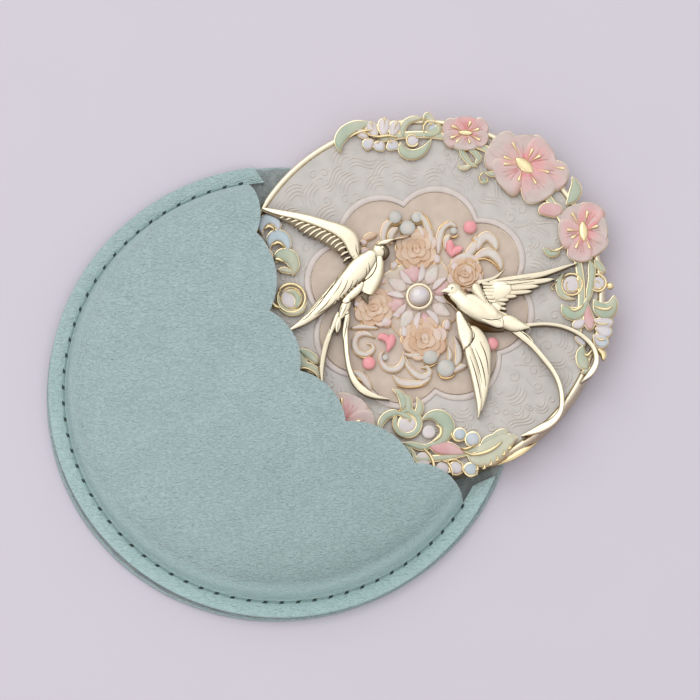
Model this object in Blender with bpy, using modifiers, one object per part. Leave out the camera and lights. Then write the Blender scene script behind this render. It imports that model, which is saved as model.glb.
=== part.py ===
"""A round pocket mirror, half drawn out of its round leather sleeve.

The frame: +Z is up, the sleeve lies on z = 0 with its centre at the origin, and the mirror
slides out along +X. The mirror lies with its glass down and its relief back up.

The mirror is a cast tray with a rolled bead round its edge. The glass is taped into the
recess below. Above, enamel pools fill the field and a lobed medallion, and cast onlays
carry a rosette with a pearl, two swallows and two garlands of blossom.

The sleeve is a round back panel and a formed front panel with a scalloped mouth, each
with a suede lining, sewn together along a grooved seam.
"""
import math

import bmesh
import bpy
from mathutils import Matrix, Vector

# Mirror: the sizes that are set by themselves, in metres
mirror_radius = 0.0391
wall_draft = 0.0005
foot_round = 0.0004
rim_bead_radius = 0.0006
tray_lip_width = 0.0018
glass_thickness = 0.0018
glass_recess = 0.0002
glass_fit = 0.0003
glass_chamfer = 0.0003
tape_thickness = 0.0003
tape_inset = 0.0025
web_thickness = 0.0010
bond_gap = 0.00005
enamel_depth = 0.00035
enamel_fit = 0.00015
bead_stand = 0.0004
onlay_thickness = 0.00035
wing_step = 0.00001
fill_edge = 0.00015
fill_crown = 0.00042
rosette_crown = 0.00080
petal_crown = 0.00035
crown_dip = 0.25
swallow_height = 0.0013
ridge_width = 0.0014
ridge_height = 0.0007
pearl_radius = 0.0024
cup_wall = 0.0005
cup_height = 0.0007
cup_floor = 0.0002

# The mirror went into the sleeve with its artwork turned by this angle
artwork_turn = math.radians(-33.8)

# Sleeve: the sizes that are set by themselves, in metres
leather_thickness = 0.0009
lining_thickness = 0.0003
glue_line = 0.00005
leather_round = 0.00025
lining_inset = 0.0006
seam_margin = 0.0032
thread_radius = 0.00028
thread_flatness = 0.6
groove_half_width = 0.00042
groove_depth = 0.0004
side_clearance = 0.0003
lift_clearance = 0.00025
roof_clearance = 0.0004
wall_lean = 0.0003
shoulder_run = 0.0046
shoulder_rise = 0.0036
foot_fillet = 0.0002
mouth_end_reach = 0.0185
mouth_end_flare = 0.0022
mouth_depth = 0.0049
mouth_arc_radius = 0.0540
cutter_overrun = 0.0100
drawn_out = 0.0350

# Notches of the scalloped mouth, as angles on the mouth's arc, and the rise of each lobe
notch_angles = (math.radians(15.4), math.radians(33.6))
lobe_rise_share = 0.16

# Counts of facets, and the distances within which points are welded
turned_steps = 56
sleeve_steps = 56
lobe_steps = 5
fine_steps = 20
shoulder_steps = 3
bead_steps = 4
pearl_steps = 5
leaf_steps = 12
heart_steps = 16
stamen_steps = 8
round_steps = 10
petal_steps = 4
weld_distance = 0.000001
weld_share = 0.0001
flat_angle = math.radians(0.5)
sharp_angle = math.radians(40)

# Heights, from the table up
back_lining_bottom = leather_thickness + glue_line
back_lining_top = back_lining_bottom + lining_thickness
mirror_bottom = back_lining_top + lift_clearance
glass_bottom = mirror_bottom + glass_recess
glass_top = glass_bottom + glass_thickness
tape_bottom = glass_top + bond_gap
web_bottom = tape_bottom + tape_thickness + bond_gap
web_top = web_bottom + web_thickness
enamel_bottom = web_top + bond_gap
enamel_top = enamel_bottom + enamel_depth
bead_top = enamel_top + bead_stand
onlay_bottom = bead_top + bond_gap
onlay_top = onlay_bottom + onlay_thickness
fill_bottom = onlay_top + bond_gap
fill_top = fill_bottom + fill_edge + fill_crown
swallow_bottom = fill_top + bond_gap
mirror_top = swallow_bottom + swallow_height
rosette_bottom = enamel_top + bond_gap
rosette_top = rosette_bottom + onlay_thickness
carving_bottom = rosette_top + bond_gap
cup_bottom = carving_bottom + fill_edge + petal_crown + bond_gap
seam_bottom = back_lining_top + glue_line
roof_bottom = mirror_top + roof_clearance

# Radii that follow from the fit of the mirror in the sleeve
recess_radius = mirror_radius - tray_lip_width
glass_radius = recess_radius - glass_fit
bead_outer_radius = mirror_radius - wall_draft
bead_centre_radius = bead_outer_radius - rim_bead_radius
field_radius = bead_centre_radius - rim_bead_radius - enamel_fit
pocket_radius = math.hypot(mouth_end_reach, mirror_radius + side_clearance)
wall_stack = lining_thickness + glue_line + leather_thickness
seam_radius = pocket_radius + wall_stack + foot_fillet + groove_half_width
sleeve_radius = seam_radius + seam_margin
lining_radius = sleeve_radius - lining_inset

# Medallion and rosette, with radii as shares of the mirror's radius
medallion_lobes = 8
medallion_turn = math.radians(9.5)
medallion_cusp_share = 0.522
medallion_peak_share = 0.610
rosette_base_share = 0.235
rosette_stem_share = 0.028
petal_reach_share = 0.225
petal_dip_share = 0.150
carved_blossoms = 4
carved_turn = math.radians(15)
carved_ring_share = 0.275
carved_radius_share = 0.108

# Hearts, beads and scroll rings of the rosette: across, up and radius, as shares
heart_shares = ((0.188, 0.270, 0.055), (-0.188, -0.240, 0.055))
pink_bead_shares = ((0.262, 0.375, 0.034), (-0.27, -0.365, 0.034), (0.375, -0.255, 0.034))
pale_bead_shares = ((-0.065, 0.43, 0.040), (0.07, -0.43, 0.040), (0.168, -0.388, 0.040))
heart_reach_parts = (1.20, 0.92, 0.86, 0.95, 1.08, 0.60)
rosette_ring_shares = (
    (-0.178, 0.405, 0.048), (0.035, 0.440, 0.045), (0.130, 0.390, 0.045),
    (-0.310, -0.245, 0.050), (-0.150, -0.370, 0.050), (-0.040, -0.430, 0.045))

# Blossoms of the garlands: across, up and radius, as shares
upper_blossom_shares = ((0.25, 0.865, 0.110), (0.57, 0.725, 0.190), (0.875, 0.375, 0.140))
lower_blossom_shares = ((-0.35, -0.655, 0.165), (-0.745, -0.525, 0.135))
petals = 5
petal_notch_share = 0.24
petal_roundness = 0.7
stamen_radius_share = 0.030
stamen_height = 0.0004

# Leaves: across, up, length, width and turn in degrees
upper_leaf_shares = (
    (-0.355, 0.845, 0.25, 0.11, 208), (-0.13, 0.86, 0.15, 0.085, 185),
    (0.80, 0.58, 0.13, 0.08, -30), (0.83, -0.055, 0.16, 0.10, 235),
    (0.995, -0.045, 0.15, 0.09, -60), (0.90, -0.30, 0.15, 0.085, 255))
lower_leaf_shares = (
    (0.41, -0.765, 0.25, 0.15, 28), (0.08, -0.85, 0.17, 0.10, 200),
    (-0.13, -0.565, 0.14, 0.08, 130), (-0.61, -0.32, 0.16, 0.085, 60),
    (-0.87, -0.06, 0.15, 0.085, 95), (-0.80, 0.19, 0.12, 0.085, 100))

# Buds and drops: across, up, length, width and turn in degrees
upper_bud_shares = ((0.705, 0.475, 0.100, 0.075, 120), (0.915, -0.145, 0.115, 0.070, 90))
lower_bud_shares = ((0.245, -0.855, 0.100, 0.080, 60), (-0.80, 0.335, 0.100, 0.080, 95))
leaf_taper_share = 0.35

# Scroll rings: across, up and radius
upper_ring_shares = ((0.03, 0.845, 0.062), (0.81, 0.09, 0.060), (0.955, 0.085, 0.048))
lower_ring_shares = ((-0.055, -0.705, 0.070), (-0.745, 0.06, 0.066))
ring_wire_share = 0.0105

# Vines: the first and last angle of each arc, its radius and its width
upper_vine_angles = (math.radians(118), math.radians(-20))
lower_vine_angles = (math.radians(-58), math.radians(-206))
vine_radius_share = 0.865
vine_width_share = 0.045
cloison_margin_share = 0.010
stem_reach_part = 0.8

# Left swallow, as places across and up from the mirror's centre
left_body_shares = (
    (-0.163, 0.282), (-0.200, 0.255), (-0.235, 0.215), (-0.275, 0.165), (-0.330, 0.070),
    (-0.410, -0.045), (-0.460, -0.215))
left_wing_shares = (
    ((-0.300, 0.200), (-0.325, 0.430), (-0.450, 0.425), (-0.845, 0.486), (-0.400, 0.165)),
    ((-0.340, 0.170), (-0.460, 0.090), (-0.560, -0.050), (-0.680, -0.185), (-0.290, 0.060)))
left_streamer_shares = (
    ((-0.470, -0.180), (-0.515, -0.290), (-0.535, -0.400), (-0.514, -0.486)),
    ((-0.440, -0.160), (-0.395, -0.330), (-0.340, -0.500), (-0.179, -0.570)))

# Right swallow
right_body_shares = (
    (0.117, 0.024), (0.170, 0.030), (0.215, 0.005), (0.275, -0.030), (0.370, -0.095),
    (0.480, -0.145), (0.590, -0.180))
right_wing_shares = (
    ((0.290, 0.000), (0.290, 0.150), (0.520, 0.110), (0.840, 0.184), (0.450, -0.110)),
    ((0.190, -0.050), (0.215, -0.280), (0.270, -0.420), (0.320, -0.660), (0.385, -0.150)))
right_streamer_shares = (
    ((0.560, -0.165), (0.840, -0.180), (0.955, -0.330), (0.880, -0.472)),
    ((0.540, -0.170), (0.725, -0.420), (0.725, -0.600), (0.510, -0.730)))
body_radius_shares = (0.006, 0.044, 0.047, 0.064, 0.070, 0.054, 0.034)
streamer_radius_shares = (0.018, 0.014, 0.013, 0.015, 0.024, 0.005)
streamer_flatness = 0.5
feathers = 7
feather_depth_part = 0.09
feather_slant = 0.25
wing_thickness_part = 0.45
body_samples = 13
streamer_samples = 11
wing_edge_samples = 8

rest_centre = Vector((drawn_out, 0))
artwork_matrix = Matrix.Rotation(artwork_turn, 2)


# Scene and materials


def clear_scene():
    for thing in list(bpy.data.objects):
        bpy.data.objects.remove(thing, do_unlink=True)


def new_collection(name):
    made = bpy.data.collections.new(name)
    bpy.context.scene.collection.children.link(made)
    return made


def paint(name, colour, roughness, metallic=0.0):
    made = bpy.data.materials.new(name)
    made.use_nodes = True
    shader = made.node_tree.nodes["Principled BSDF"]
    shader.inputs["Base Color"].default_value = (*colour, 1.0)
    shader.inputs["Roughness"].default_value = roughness
    shader.inputs["Metallic"].default_value = metallic
    made.diffuse_color = (*colour, 1.0)
    return made


clear_scene()
parts = new_collection("pocket_mirror")
cutters = new_collection("cutters")

gold = paint("plated_gold", (0.83, 0.66, 0.38), 0.22, 1.0)
glass = paint("silvered_glass", (0.86, 0.88, 0.89), 0.03, 1.0)
tape = paint("white_tape", (0.86, 0.86, 0.84), 0.70)
grey_enamel = paint("grey_enamel", (0.56, 0.57, 0.54), 0.35)
beige_enamel = paint("beige_enamel", (0.60, 0.51, 0.44), 0.40)
blush_enamel = paint("blush_enamel", (0.73, 0.64, 0.64), 0.35)
pink_enamel = paint("pink_enamel", (0.80, 0.52, 0.52), 0.30)
rose_enamel = paint("rose_enamel", (0.90, 0.30, 0.38), 0.28)
green_enamel = paint("green_enamel", (0.50, 0.64, 0.52), 0.32)
lilac_enamel = paint("lilac_enamel", (0.72, 0.66, 0.72), 0.32)
tan_enamel = paint("tan_enamel", (0.68, 0.50, 0.36), 0.42)
pearl_white = paint("pearl_white", (0.82, 0.79, 0.82), 0.18)
teal_leather = paint("teal_leather", (0.37, 0.50, 0.50), 0.62)
grey_suede = paint("grey_suede", (0.30, 0.35, 0.37), 0.90)
teal_thread = paint("teal_thread", (0.20, 0.32, 0.33), 0.75)


# Points and outlines


def polar(radius, angle):
    return Vector((radius * math.cos(angle), radius * math.sin(angle)))


def place(u_share, v_share):
    """A place of the artwork, given across and up, in the sleeve's frame at rest."""
    return rest_centre + artwork_matrix @ Vector((u_share, v_share)) * mirror_radius


def circle(radius, steps, centre=rest_centre):
    return [centre + polar(radius, math.tau * step / steps) for step in range(steps)]


def arc_between(start, end, rise, steps):
    """A circular arc without its last point. A rise above 0 is to the right, below 0 to the left."""
    chord = end - start
    along = chord.normalized()
    side = Vector((along.y, -along.x))
    half = chord.length / 2
    radius = (half ** 2 + rise ** 2) / (2 * rise)
    centre = (start + end) / 2 + side * (rise - radius)
    sweep = math.asin(half / radius)
    swings = [sweep * (2 * step / steps - 1) for step in range(steps)]
    return [centre + radius * (side * math.cos(swing) + along * math.sin(swing)) for swing in swings]


def lobed(cusp_radius, peak_radius, steps):
    """The medallion's outline: arcs between cusps, each bulging out to the peak radius."""
    pitch = math.tau / medallion_lobes
    turns = [medallion_turn + artwork_turn + pitch * index for index in range(medallion_lobes + 1)]
    cusps = [rest_centre + polar(cusp_radius, turn) for turn in turns]
    rise = peak_radius - cusp_radius * math.cos(math.pi / medallion_lobes)
    return [point for pair in zip(cusps, cusps[1:]) for point in arc_between(*pair, rise, steps)]


def smooth_path(knots, samples):
    """A Catmull-Rom curve through the knots."""
    ends = [2 * knots[0] - knots[1], *knots, 2 * knots[-1] - knots[-2]]
    spans = len(knots) - 1
    out = []
    for index in range(samples):
        at = spans * index / (samples - 1)
        span = min(int(at), spans - 1)
        t = at - span
        a, b, c, d = ends[span:span + 4]
        cubic = (3 * b - a - 3 * c + d) * t ** 3 + (2 * a - 5 * b + 4 * c - d) * t ** 2
        out.append((cubic + (c - a) * t + 2 * b) / 2)
    return out


def bezier(a, b, c, d, t):
    s = 1 - t
    return a * s ** 3 + b * (3 * s * s * t) + c * (3 * s * t * t) + d * t ** 3


def mix(values, share):
    """The value at a share of the way along a row of values."""
    at = share * (len(values) - 1)
    low = min(int(at), len(values) - 2)
    return values[low] + (values[low + 1] - values[low]) * (at - low)


# Solids


def finish(obj, name, material):
    obj.name = name
    obj.data.name = name
    obj.data.materials.clear()
    obj.data.materials.append(material)
    if obj.name not in parts.objects:
        parts.objects.link(obj)
    return obj


def from_bmesh(name, bm, material):
    bmesh.ops.recalc_face_normals(bm, faces=bm.faces)
    if bm.calc_volume(signed=True) < 0:
        bmesh.ops.reverse_faces(bm, faces=bm.faces)
    mesh = bpy.data.meshes.new(name)
    bm.to_mesh(mesh)
    bm.free()
    mesh.shade_smooth()
    mesh.set_sharp_from_angle(angle=sharp_angle)
    return finish(bpy.data.objects.new(name, mesh), name, material)


def as_mesh(obj, name, material, flat_limit=None):
    """The evaluated object as a mesh of its own, welded, with its flat facets joined on request."""
    bpy.context.view_layer.update()
    mesh = bpy.data.meshes.new_from_object(obj.evaluated_get(bpy.context.evaluated_depsgraph_get()))
    bm = bmesh.new()
    bm.from_mesh(mesh)
    bm.transform(obj.matrix_world)
    bmesh.ops.remove_doubles(bm, verts=bm.verts, dist=weld_distance)
    if flat_limit:
        bmesh.ops.dissolve_limit(bm, angle_limit=flat_limit, verts=bm.verts, edges=bm.edges)
    bpy.data.meshes.remove(mesh)
    bpy.data.objects.remove(obj, do_unlink=True)
    return from_bmesh(name, bm, material)


def turned(name, profile, material, steps, centre, cutter=None):
    """A turned solid. Its profile starts on the axis, goes over the top and down the outside."""
    mesh = bpy.data.meshes.new(name)
    points = [(radius, 0, height) for radius, height in profile]
    mesh.from_pydata(points, [(i, i + 1) for i in range(len(points) - 1)], [])
    obj = finish(bpy.data.objects.new(name, mesh), name, material)
    obj.location = (centre.x, centre.y, 0)
    screw = obj.modifiers.new("turn", "SCREW")
    screw.steps = steps
    screw.render_steps = steps
    screw.use_merge_vertices = True
    screw.merge_threshold = weld_distance
    if cutter:
        difference = obj.modifiers.new("cut", "BOOLEAN")
        difference.operation = "DIFFERENCE"
        difference.object = cutter
    return as_mesh(obj, name, material)


def add_spline(curve, points, closed):
    spline = curve.splines.new("POLY")
    spline.points.add(len(points) - 1)
    for knot, at in zip(spline.points, points):
        knot.co = (at.x, at.y, 0, 1)
    spline.use_cyclic_u = closed
    return spline


def plate(name, outlines, bottom, top, material):
    """A flat plate between two heights. Outlines after the first are holes."""
    curve = bpy.data.curves.new(name, "CURVE")
    curve.dimensions = "2D"
    curve.fill_mode = "BOTH"
    curve.extrude = (top - bottom) / 2
    for outline in outlines:
        add_spline(curve, outline, True)
    obj = bpy.data.objects.new(name, curve)
    obj.location.z = (top + bottom) / 2
    parts.objects.link(obj)
    return as_mesh(obj, name, material)


def tube(name, points, radii, height, material, flatness=1.0, resolution=2, closed=False):
    """A bar along flat points at one height, round or flattened, with filled caps."""
    widest = max(radii)
    curve = bpy.data.curves.new(name, "CURVE")
    curve.dimensions = "3D"
    curve.bevel_depth = widest
    curve.bevel_resolution = resolution
    curve.use_fill_caps = True
    spline = add_spline(curve, points, closed)
    for knot, radius in zip(spline.points, radii):
        knot.radius = radius / widest
    obj = bpy.data.objects.new(name, curve)
    obj.location.z = height
    obj.scale.z = flatness
    parts.objects.link(obj)
    return as_mesh(obj, name, material)


def carved(name, shape, crown, bottom, material, steps, rings=2):
    """A spun blank whose rim follows shape(share, angle), with a top raised by crown(share)."""
    bm = bmesh.new()
    rows = [(ring / rings, 1.0) for ring in range(rings + 1)] + [(1.0, 0.0), (0.0, 0.0)]
    knots = [bm.verts.new((share, 0, level)) for share, level in rows]
    edges = [bm.edges.new(pair) for pair in zip(knots, knots[1:])]
    bmesh.ops.spin(bm, geom=knots + edges, cent=(0, 0, 0), axis=(0, 0, 1), angle=math.tau,
                   steps=steps, use_merge=True, use_duplicate=False)
    bmesh.ops.remove_doubles(bm, verts=bm.verts, dist=weld_share)
    for vert in bm.verts:
        share = math.hypot(vert.co.x, vert.co.y)
        angle = math.atan2(vert.co.y, vert.co.x)
        at = shape(share, angle)
        rise = fill_edge + crown(share) if vert.co.z > weld_share else 0
        vert.co = (at.x, at.y, bottom + rise)
    return from_bmesh(name, bm, material)


def fused(name, pieces, material):
    """One solid from overlapping ones, which are used up."""
    base = pieces[0]
    for other in pieces[1:]:
        union = base.modifiers.new("join", "BOOLEAN")
        union.operation = "UNION"
        union.object = other
    made = as_mesh(base, name, material, flat_angle)
    for other in pieces[1:]:
        bpy.data.objects.remove(other, do_unlink=True)
    return made


# Sleeve


def mouth_outline():
    """Everything beyond the scalloped mouth, from its far end round to its near end."""
    arc_centre = Vector((mouth_depth + mouth_arc_radius, 0))
    turns = [notch_angles[1], notch_angles[0], 0, -notch_angles[0], -notch_angles[1]]
    notches = [arc_centre - polar(mouth_arc_radius, -turn) for turn in turns]
    end_y = math.sqrt(seam_radius ** 2 - mouth_end_reach ** 2)
    far_end = Vector((mouth_end_reach, end_y))
    near_end = Vector((mouth_end_reach, -end_y))
    stops = [far_end, *notches, near_end]
    outline = []
    for start, end in zip(stops, stops[1:]):
        outline += arc_between(start, end, -lobe_rise_share * (end - start).length, lobe_steps)
    outline.append(near_end)
    reach = sleeve_radius + cutter_overrun
    flared_x = mouth_end_reach + mouth_end_flare
    outline += [Vector((flared_x, -reach)), Vector((reach, -reach))]
    outline += [Vector((reach, reach)), Vector((flared_x, reach))]
    return outline


def shoulder(offset):
    """The formed wall from the roof down to the foot, offset outwards from the pocket."""
    foot = pocket_radius + offset
    centre_radius = pocket_radius - wall_lean - shoulder_run
    centre_height = roof_bottom - shoulder_rise
    turns = [math.pi / 2 * (1 - step / shoulder_steps) for step in range(shoulder_steps + 1)]
    arc = [(centre_radius + (shoulder_run + offset) * math.cos(turn),
            centre_height + (shoulder_rise + offset) * math.sin(turn)) for turn in turns]
    return [(0, roof_bottom + offset)] + arc, foot


def formed_shell(name, low, high, edge_radius, grooved, material, cutter):
    """A turned shell between two offsets from the pocket, with a flange for the seam."""
    top, foot = shoulder(high)
    flange_top = seam_bottom + high
    top += [(foot, flange_top + foot_fillet), (foot + foot_fillet, flange_top)]
    if grooved:
        top += [(seam_radius - groove_half_width, flange_top),
                (seam_radius - groove_half_width / 2, flange_top - groove_depth),
                (seam_radius + groove_half_width / 2, flange_top - groove_depth),
                (seam_radius + groove_half_width, flange_top)]
    top += [(edge_radius - leather_round, flange_top), (edge_radius, flange_top - leather_round)]
    under, foot = shoulder(low)
    flange_bottom = seam_bottom + low
    under += [(foot, flange_bottom + foot_fillet), (foot + foot_fillet, flange_bottom),
              (edge_radius, flange_bottom)]
    turned(name, top + under[::-1], material, sleeve_steps, Vector((0, 0)), cutter)


def build_sleeve():
    mouth = plate("mouth_cutter", [mouth_outline()], 0, roof_bottom + cutter_overrun, teal_leather)
    parts.objects.unlink(mouth)
    cutters.objects.link(mouth)
    mouth.hide_render = True
    mouth.display_type = "WIRE"
    formed_shell("sleeve_front_panel", lining_thickness + glue_line, wall_stack, sleeve_radius,
                 True, teal_leather, mouth)
    formed_shell("sleeve_front_lining", 0, lining_thickness, lining_radius, False, grey_suede, mouth)

    turned("sleeve_back_panel", [
        (0, leather_thickness), (sleeve_radius - leather_round, leather_thickness),
        (sleeve_radius, leather_thickness - leather_round), (sleeve_radius, 0),
        (seam_radius + groove_half_width, 0),
        (seam_radius + groove_half_width / 2, groove_depth),
        (seam_radius - groove_half_width / 2, groove_depth),
        (seam_radius - groove_half_width, 0), (0, 0)], teal_leather, sleeve_steps, Vector((0, 0)))
    turned("sleeve_back_lining", [
        (0, back_lining_top), (lining_radius, back_lining_top),
        (lining_radius, back_lining_bottom), (0, back_lining_bottom)],
        grey_suede, sleeve_steps, Vector((0, 0)))

    # The seam starts and ends on the first facet past each end of the mouth
    first = math.ceil(math.acos(mouth_end_reach / seam_radius) / math.tau * sleeve_steps) + 1
    turns = [math.tau * step / sleeve_steps for step in range(first, sleeve_steps - first + 1)]
    seam = [polar(seam_radius, turn) for turn in turns]
    radii = [thread_radius] * len(seam)
    flange_top = seam_bottom + wall_stack
    tube("needle_thread", seam, radii, flange_top - groove_depth + bond_gap + thread_radius,
         teal_thread, resolution=1)
    tube("bobbin_thread", seam, radii, groove_depth - bond_gap - thread_radius * thread_flatness,
         teal_thread, thread_flatness, 1)


# Mirror body


def build_tray():
    bead_turns = [math.pi * (1 - step / bead_steps) for step in range(bead_steps + 1)]
    bead_height = bead_top - rim_bead_radius
    bead = [(bead_centre_radius + rim_bead_radius * math.cos(turn),
             bead_height + rim_bead_radius * math.sin(turn)) for turn in bead_turns]
    profile = [(0, web_top), (bead_centre_radius - rim_bead_radius, web_top), *bead,
               (mirror_radius, mirror_bottom + 2 * foot_round), (mirror_radius - foot_round, mirror_bottom),
               (recess_radius, mirror_bottom), (recess_radius, web_bottom), (0, web_bottom)]
    turned("case_casting", profile, gold, turned_steps, rest_centre)
    turned("mirror_glass", [
        (0, glass_top), (glass_radius, glass_top), (glass_radius, glass_bottom + glass_chamfer),
        (glass_radius - glass_chamfer, glass_bottom), (0, glass_bottom)], glass, turned_steps, rest_centre)
    plate("adhesive_tape", [circle(glass_radius - tape_inset, turned_steps)],
          tape_bottom, tape_bottom + tape_thickness, tape)


def build_enamel():
    cusp = medallion_cusp_share * mirror_radius
    peak = medallion_peak_share * mirror_radius
    half = ridge_width / 2
    outer = half + enamel_fit
    plate("field_enamel", [circle(field_radius, turned_steps), lobed(cusp + outer, peak + outer, lobe_steps)],
          enamel_bottom, enamel_top, grey_enamel)
    plate("medallion_ridge", [lobed(cusp + half, peak + half, lobe_steps),
                              lobed(cusp - half, peak - half, lobe_steps)],
          enamel_bottom, enamel_bottom + ridge_height, blush_enamel)
    plate("medallion_floor", [lobed(cusp - outer, peak - outer, lobe_steps)],
          enamel_bottom, enamel_top, beige_enamel)


def dome(height, dip=crown_dip):
    """A crown that falls to its rim, and with a dip is a little hollow at the middle."""
    return lambda share: height * (1 - share ** 2) * (1 - dip * (1 - share) ** 2)


def round_shape(u_share, v_share, radius_share):
    centre = place(u_share, v_share)
    return lambda share, angle: centre + polar(share * radius_share * mirror_radius, angle)


def heart_shape(u_share, v_share, radius_share):
    """A heart whose point looks at the mirror's centre."""
    centre = place(u_share, v_share)
    inward = math.atan2(rest_centre.y - centre.y, rest_centre.x - centre.x)

    def shape(share, angle):
        away = abs(math.remainder(angle, math.tau)) / math.pi
        reach = mix(heart_reach_parts, away) * radius_share * mirror_radius
        return centre + polar(share * reach, angle + inward)
    return shape


def build_rosette():
    margin = cloison_margin_share
    turns = [carved_turn + math.tau * index / carved_blossoms for index in range(carved_blossoms)]
    blossoms = [(*polar(carved_ring_share, turn), carved_radius_share) for turn in turns]
    beads = (*pink_bead_shares, *pale_bead_shares)
    outlines = [circle(rosette_base_share * mirror_radius, fine_steps)]
    outlines += [rim_points(blossom_shape(*shares, margin), petal_steps * petals) for shares in blossoms]
    outlines += [rim_points(heart_shape(u, v, radius + margin), heart_steps) for u, v, radius in heart_shares]
    outlines += [rim_points(round_shape(u, v, radius + margin), round_steps) for u, v, radius in beads]
    outlines += stem_outlines((*heart_shares, *beads, *rosette_ring_shares),
                              rosette_base_share - rosette_stem_share, rosette_stem_share)
    pieces = [plate(f"rosette_plate_{index}", [outline], rosette_bottom, rosette_top, gold)
              for index, outline in enumerate(outlines)]
    pieces += scroll_rings("rosette", rosette_ring_shares, rosette_bottom)
    fused("rosette_casting", pieces, gold)

    petal_turn = carved_turn + artwork_turn

    def petal_shape(share, angle):
        reach = petal_reach_share - petal_dip_share
        radius = petal_dip_share + reach * math.sin((angle - petal_turn) * 2) ** 2
        return rest_centre + polar(share * radius * mirror_radius, angle)
    carved("rosette_petals", petal_shape, dome(petal_crown, 0), carving_bottom, lilac_enamel, 8 * petal_steps)

    for index, shares in enumerate(blossoms, 1):
        carved(f"carved_blossom_{index}", blossom_shape(*shares), dome(rosette_crown), carving_bottom,
               tan_enamel, petal_steps * petals)
    for index, shares in enumerate(heart_shares, 1):
        carved(f"heart_{index}", heart_shape(*shares), dome(fill_crown), carving_bottom,
               rose_enamel, heart_steps)
    for index, shares in enumerate(pink_bead_shares, 1):
        carved(f"pink_bead_{index}", round_shape(*shares), dome(rosette_crown, 0), carving_bottom,
               rose_enamel, round_steps)
    for index, shares in enumerate(pale_bead_shares, 1):
        carved(f"pale_bead_{index}", round_shape(*shares), dome(rosette_crown, 0), carving_bottom,
               pearl_white, round_steps)

    inner = pearl_radius + bond_gap
    outer = pearl_radius + cup_wall
    rim = cup_bottom + cup_height
    turned("pearl_cup", [
        (0, cup_bottom + cup_floor), (inner, cup_bottom + cup_floor), (inner, rim - cup_wall / 2),
        (pearl_radius + cup_wall / 2, rim), (outer, rim - cup_wall / 2),
        (outer, cup_bottom), (0, cup_bottom)], gold, fine_steps, rest_centre)
    pearl_bottom = cup_bottom + cup_floor + bond_gap
    height = mirror_top - pearl_bottom
    turns = [math.pi / 2 * (1 - step / pearl_steps) for step in range(pearl_steps + 1)]
    top = [(pearl_radius * math.cos(turn), pearl_bottom + height * math.sin(turn)) for turn in turns]
    turned("pearl", [*top, (0, pearl_bottom)], pearl_white, fine_steps, rest_centre)


# Garlands


def blossom_shape(u_share, v_share, radius_share, margin_share=0.0):
    centre = place(u_share, v_share)
    facing = math.atan2(centre.y, centre.x - rest_centre.x)

    def shape(share, angle):
        wave = abs(math.cos(petals * angle / 2)) ** petal_roundness
        reach = radius_share * (1 - petal_notch_share * (1 - wave)) + margin_share
        return centre + polar(share * reach * mirror_radius, angle + facing)
    return shape


def leaf_shape(u_share, v_share, length_share, width_share, degrees, margin_share=0.0):
    centre = place(u_share, v_share)
    turn = Matrix.Rotation(math.radians(degrees) + artwork_turn, 2)

    def shape(share, angle):
        along = (length_share / 2 + margin_share) * math.cos(angle)
        side = (width_share / 2 + margin_share) * math.sin(angle) * (1 - leaf_taper_share * math.cos(angle))
        return centre + turn @ Vector((along, side)) * (share * mirror_radius)
    return shape


def rim_points(shape, steps):
    return [shape(1.0, math.tau * step / steps) for step in range(steps)]


def vine_outline(angles):
    """A narrow band along an arc of the artwork, between two angles."""
    first, last = angles
    share = vine_radius_share
    steps = round_steps
    turns = [artwork_turn + last + (first - last) * step / steps for step in range(steps + 1)]
    outer = [rest_centre + polar((share + vine_width_share / 2) * mirror_radius, turn) for turn in turns]
    inner = [rest_centre + polar((share - vine_width_share / 2) * mirror_radius, turn) for turn in turns]
    return outer + inner[::-1]


def stem_outlines(places, goal_share, width_share):
    """Short radial bars to a circle from each place, across and up with its reach, that is off it."""
    outlines = []
    for u_share, v_share, reach_share in places:
        start = Vector((u_share, v_share))
        away = goal_share - start.length
        if abs(away) > reach_share * stem_reach_part:
            along = start.normalized()
            side = Vector((-along.y, along.x)) * (width_share / 2)
            end = start + along * away
            corners = (start + side, start - side, end - side, end + side)
            outlines.append([place(*corner) for corner in corners])
    return outlines


def scroll_rings(name, rings, bottom):
    wire = ring_wire_share * mirror_radius
    made = []
    for index, (u_share, v_share, radius_share) in enumerate(rings):
        ring = circle(radius_share * mirror_radius, round_steps, place(u_share, v_share))
        made.append(tube(f"{name}_ring_{index}", ring, [wire] * len(ring), bottom + bond_gap + wire, gold,
                         resolution=0, closed=True))
    return made


def build_garland(side, vine_angles, blossoms, leaves, buds, rings):
    margin = cloison_margin_share
    outlines = [vine_outline(vine_angles)]
    for shares in blossoms:
        outlines.append(rim_points(blossom_shape(*shares, margin), petal_steps * petals))
    for shares in (*leaves, *buds):
        outlines.append(rim_points(leaf_shape(*shares, margin), leaf_steps))
    narrow = [(shares[0], shares[1], shares[3] / 2) for shares in (*leaves, *buds)]
    outlines += stem_outlines((*blossoms, *narrow, *rings), vine_radius_share, vine_width_share)
    pieces = [plate(f"{side}_plate_{index}", [outline], onlay_bottom, onlay_top, gold)
              for index, outline in enumerate(outlines)]
    pieces += scroll_rings(side, rings, onlay_bottom)
    fused(f"{side}_garland_casting", pieces, gold)

    for index, shares in enumerate(blossoms, 1):
        carved(f"{side}_blossom_{index}", blossom_shape(*shares), dome(fill_crown), fill_bottom,
               pink_enamel, petal_steps * petals)
        carved(f"{side}_stamen_{index}", round_shape(*shares[:2], stamen_radius_share),
               dome(stamen_height - fill_edge, 0), fill_top + bond_gap, gold, stamen_steps)
    for index, shares in enumerate(leaves, 1):
        carved(f"{side}_leaf_{index}", leaf_shape(*shares), dome(fill_crown, 0), fill_bottom,
               green_enamel, leaf_steps)
    for index, shares in enumerate(buds, 1):
        carved(f"{side}_bud_{index}", leaf_shape(*shares), dome(fill_crown, 0), fill_bottom,
               rose_enamel, round_steps)


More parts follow.
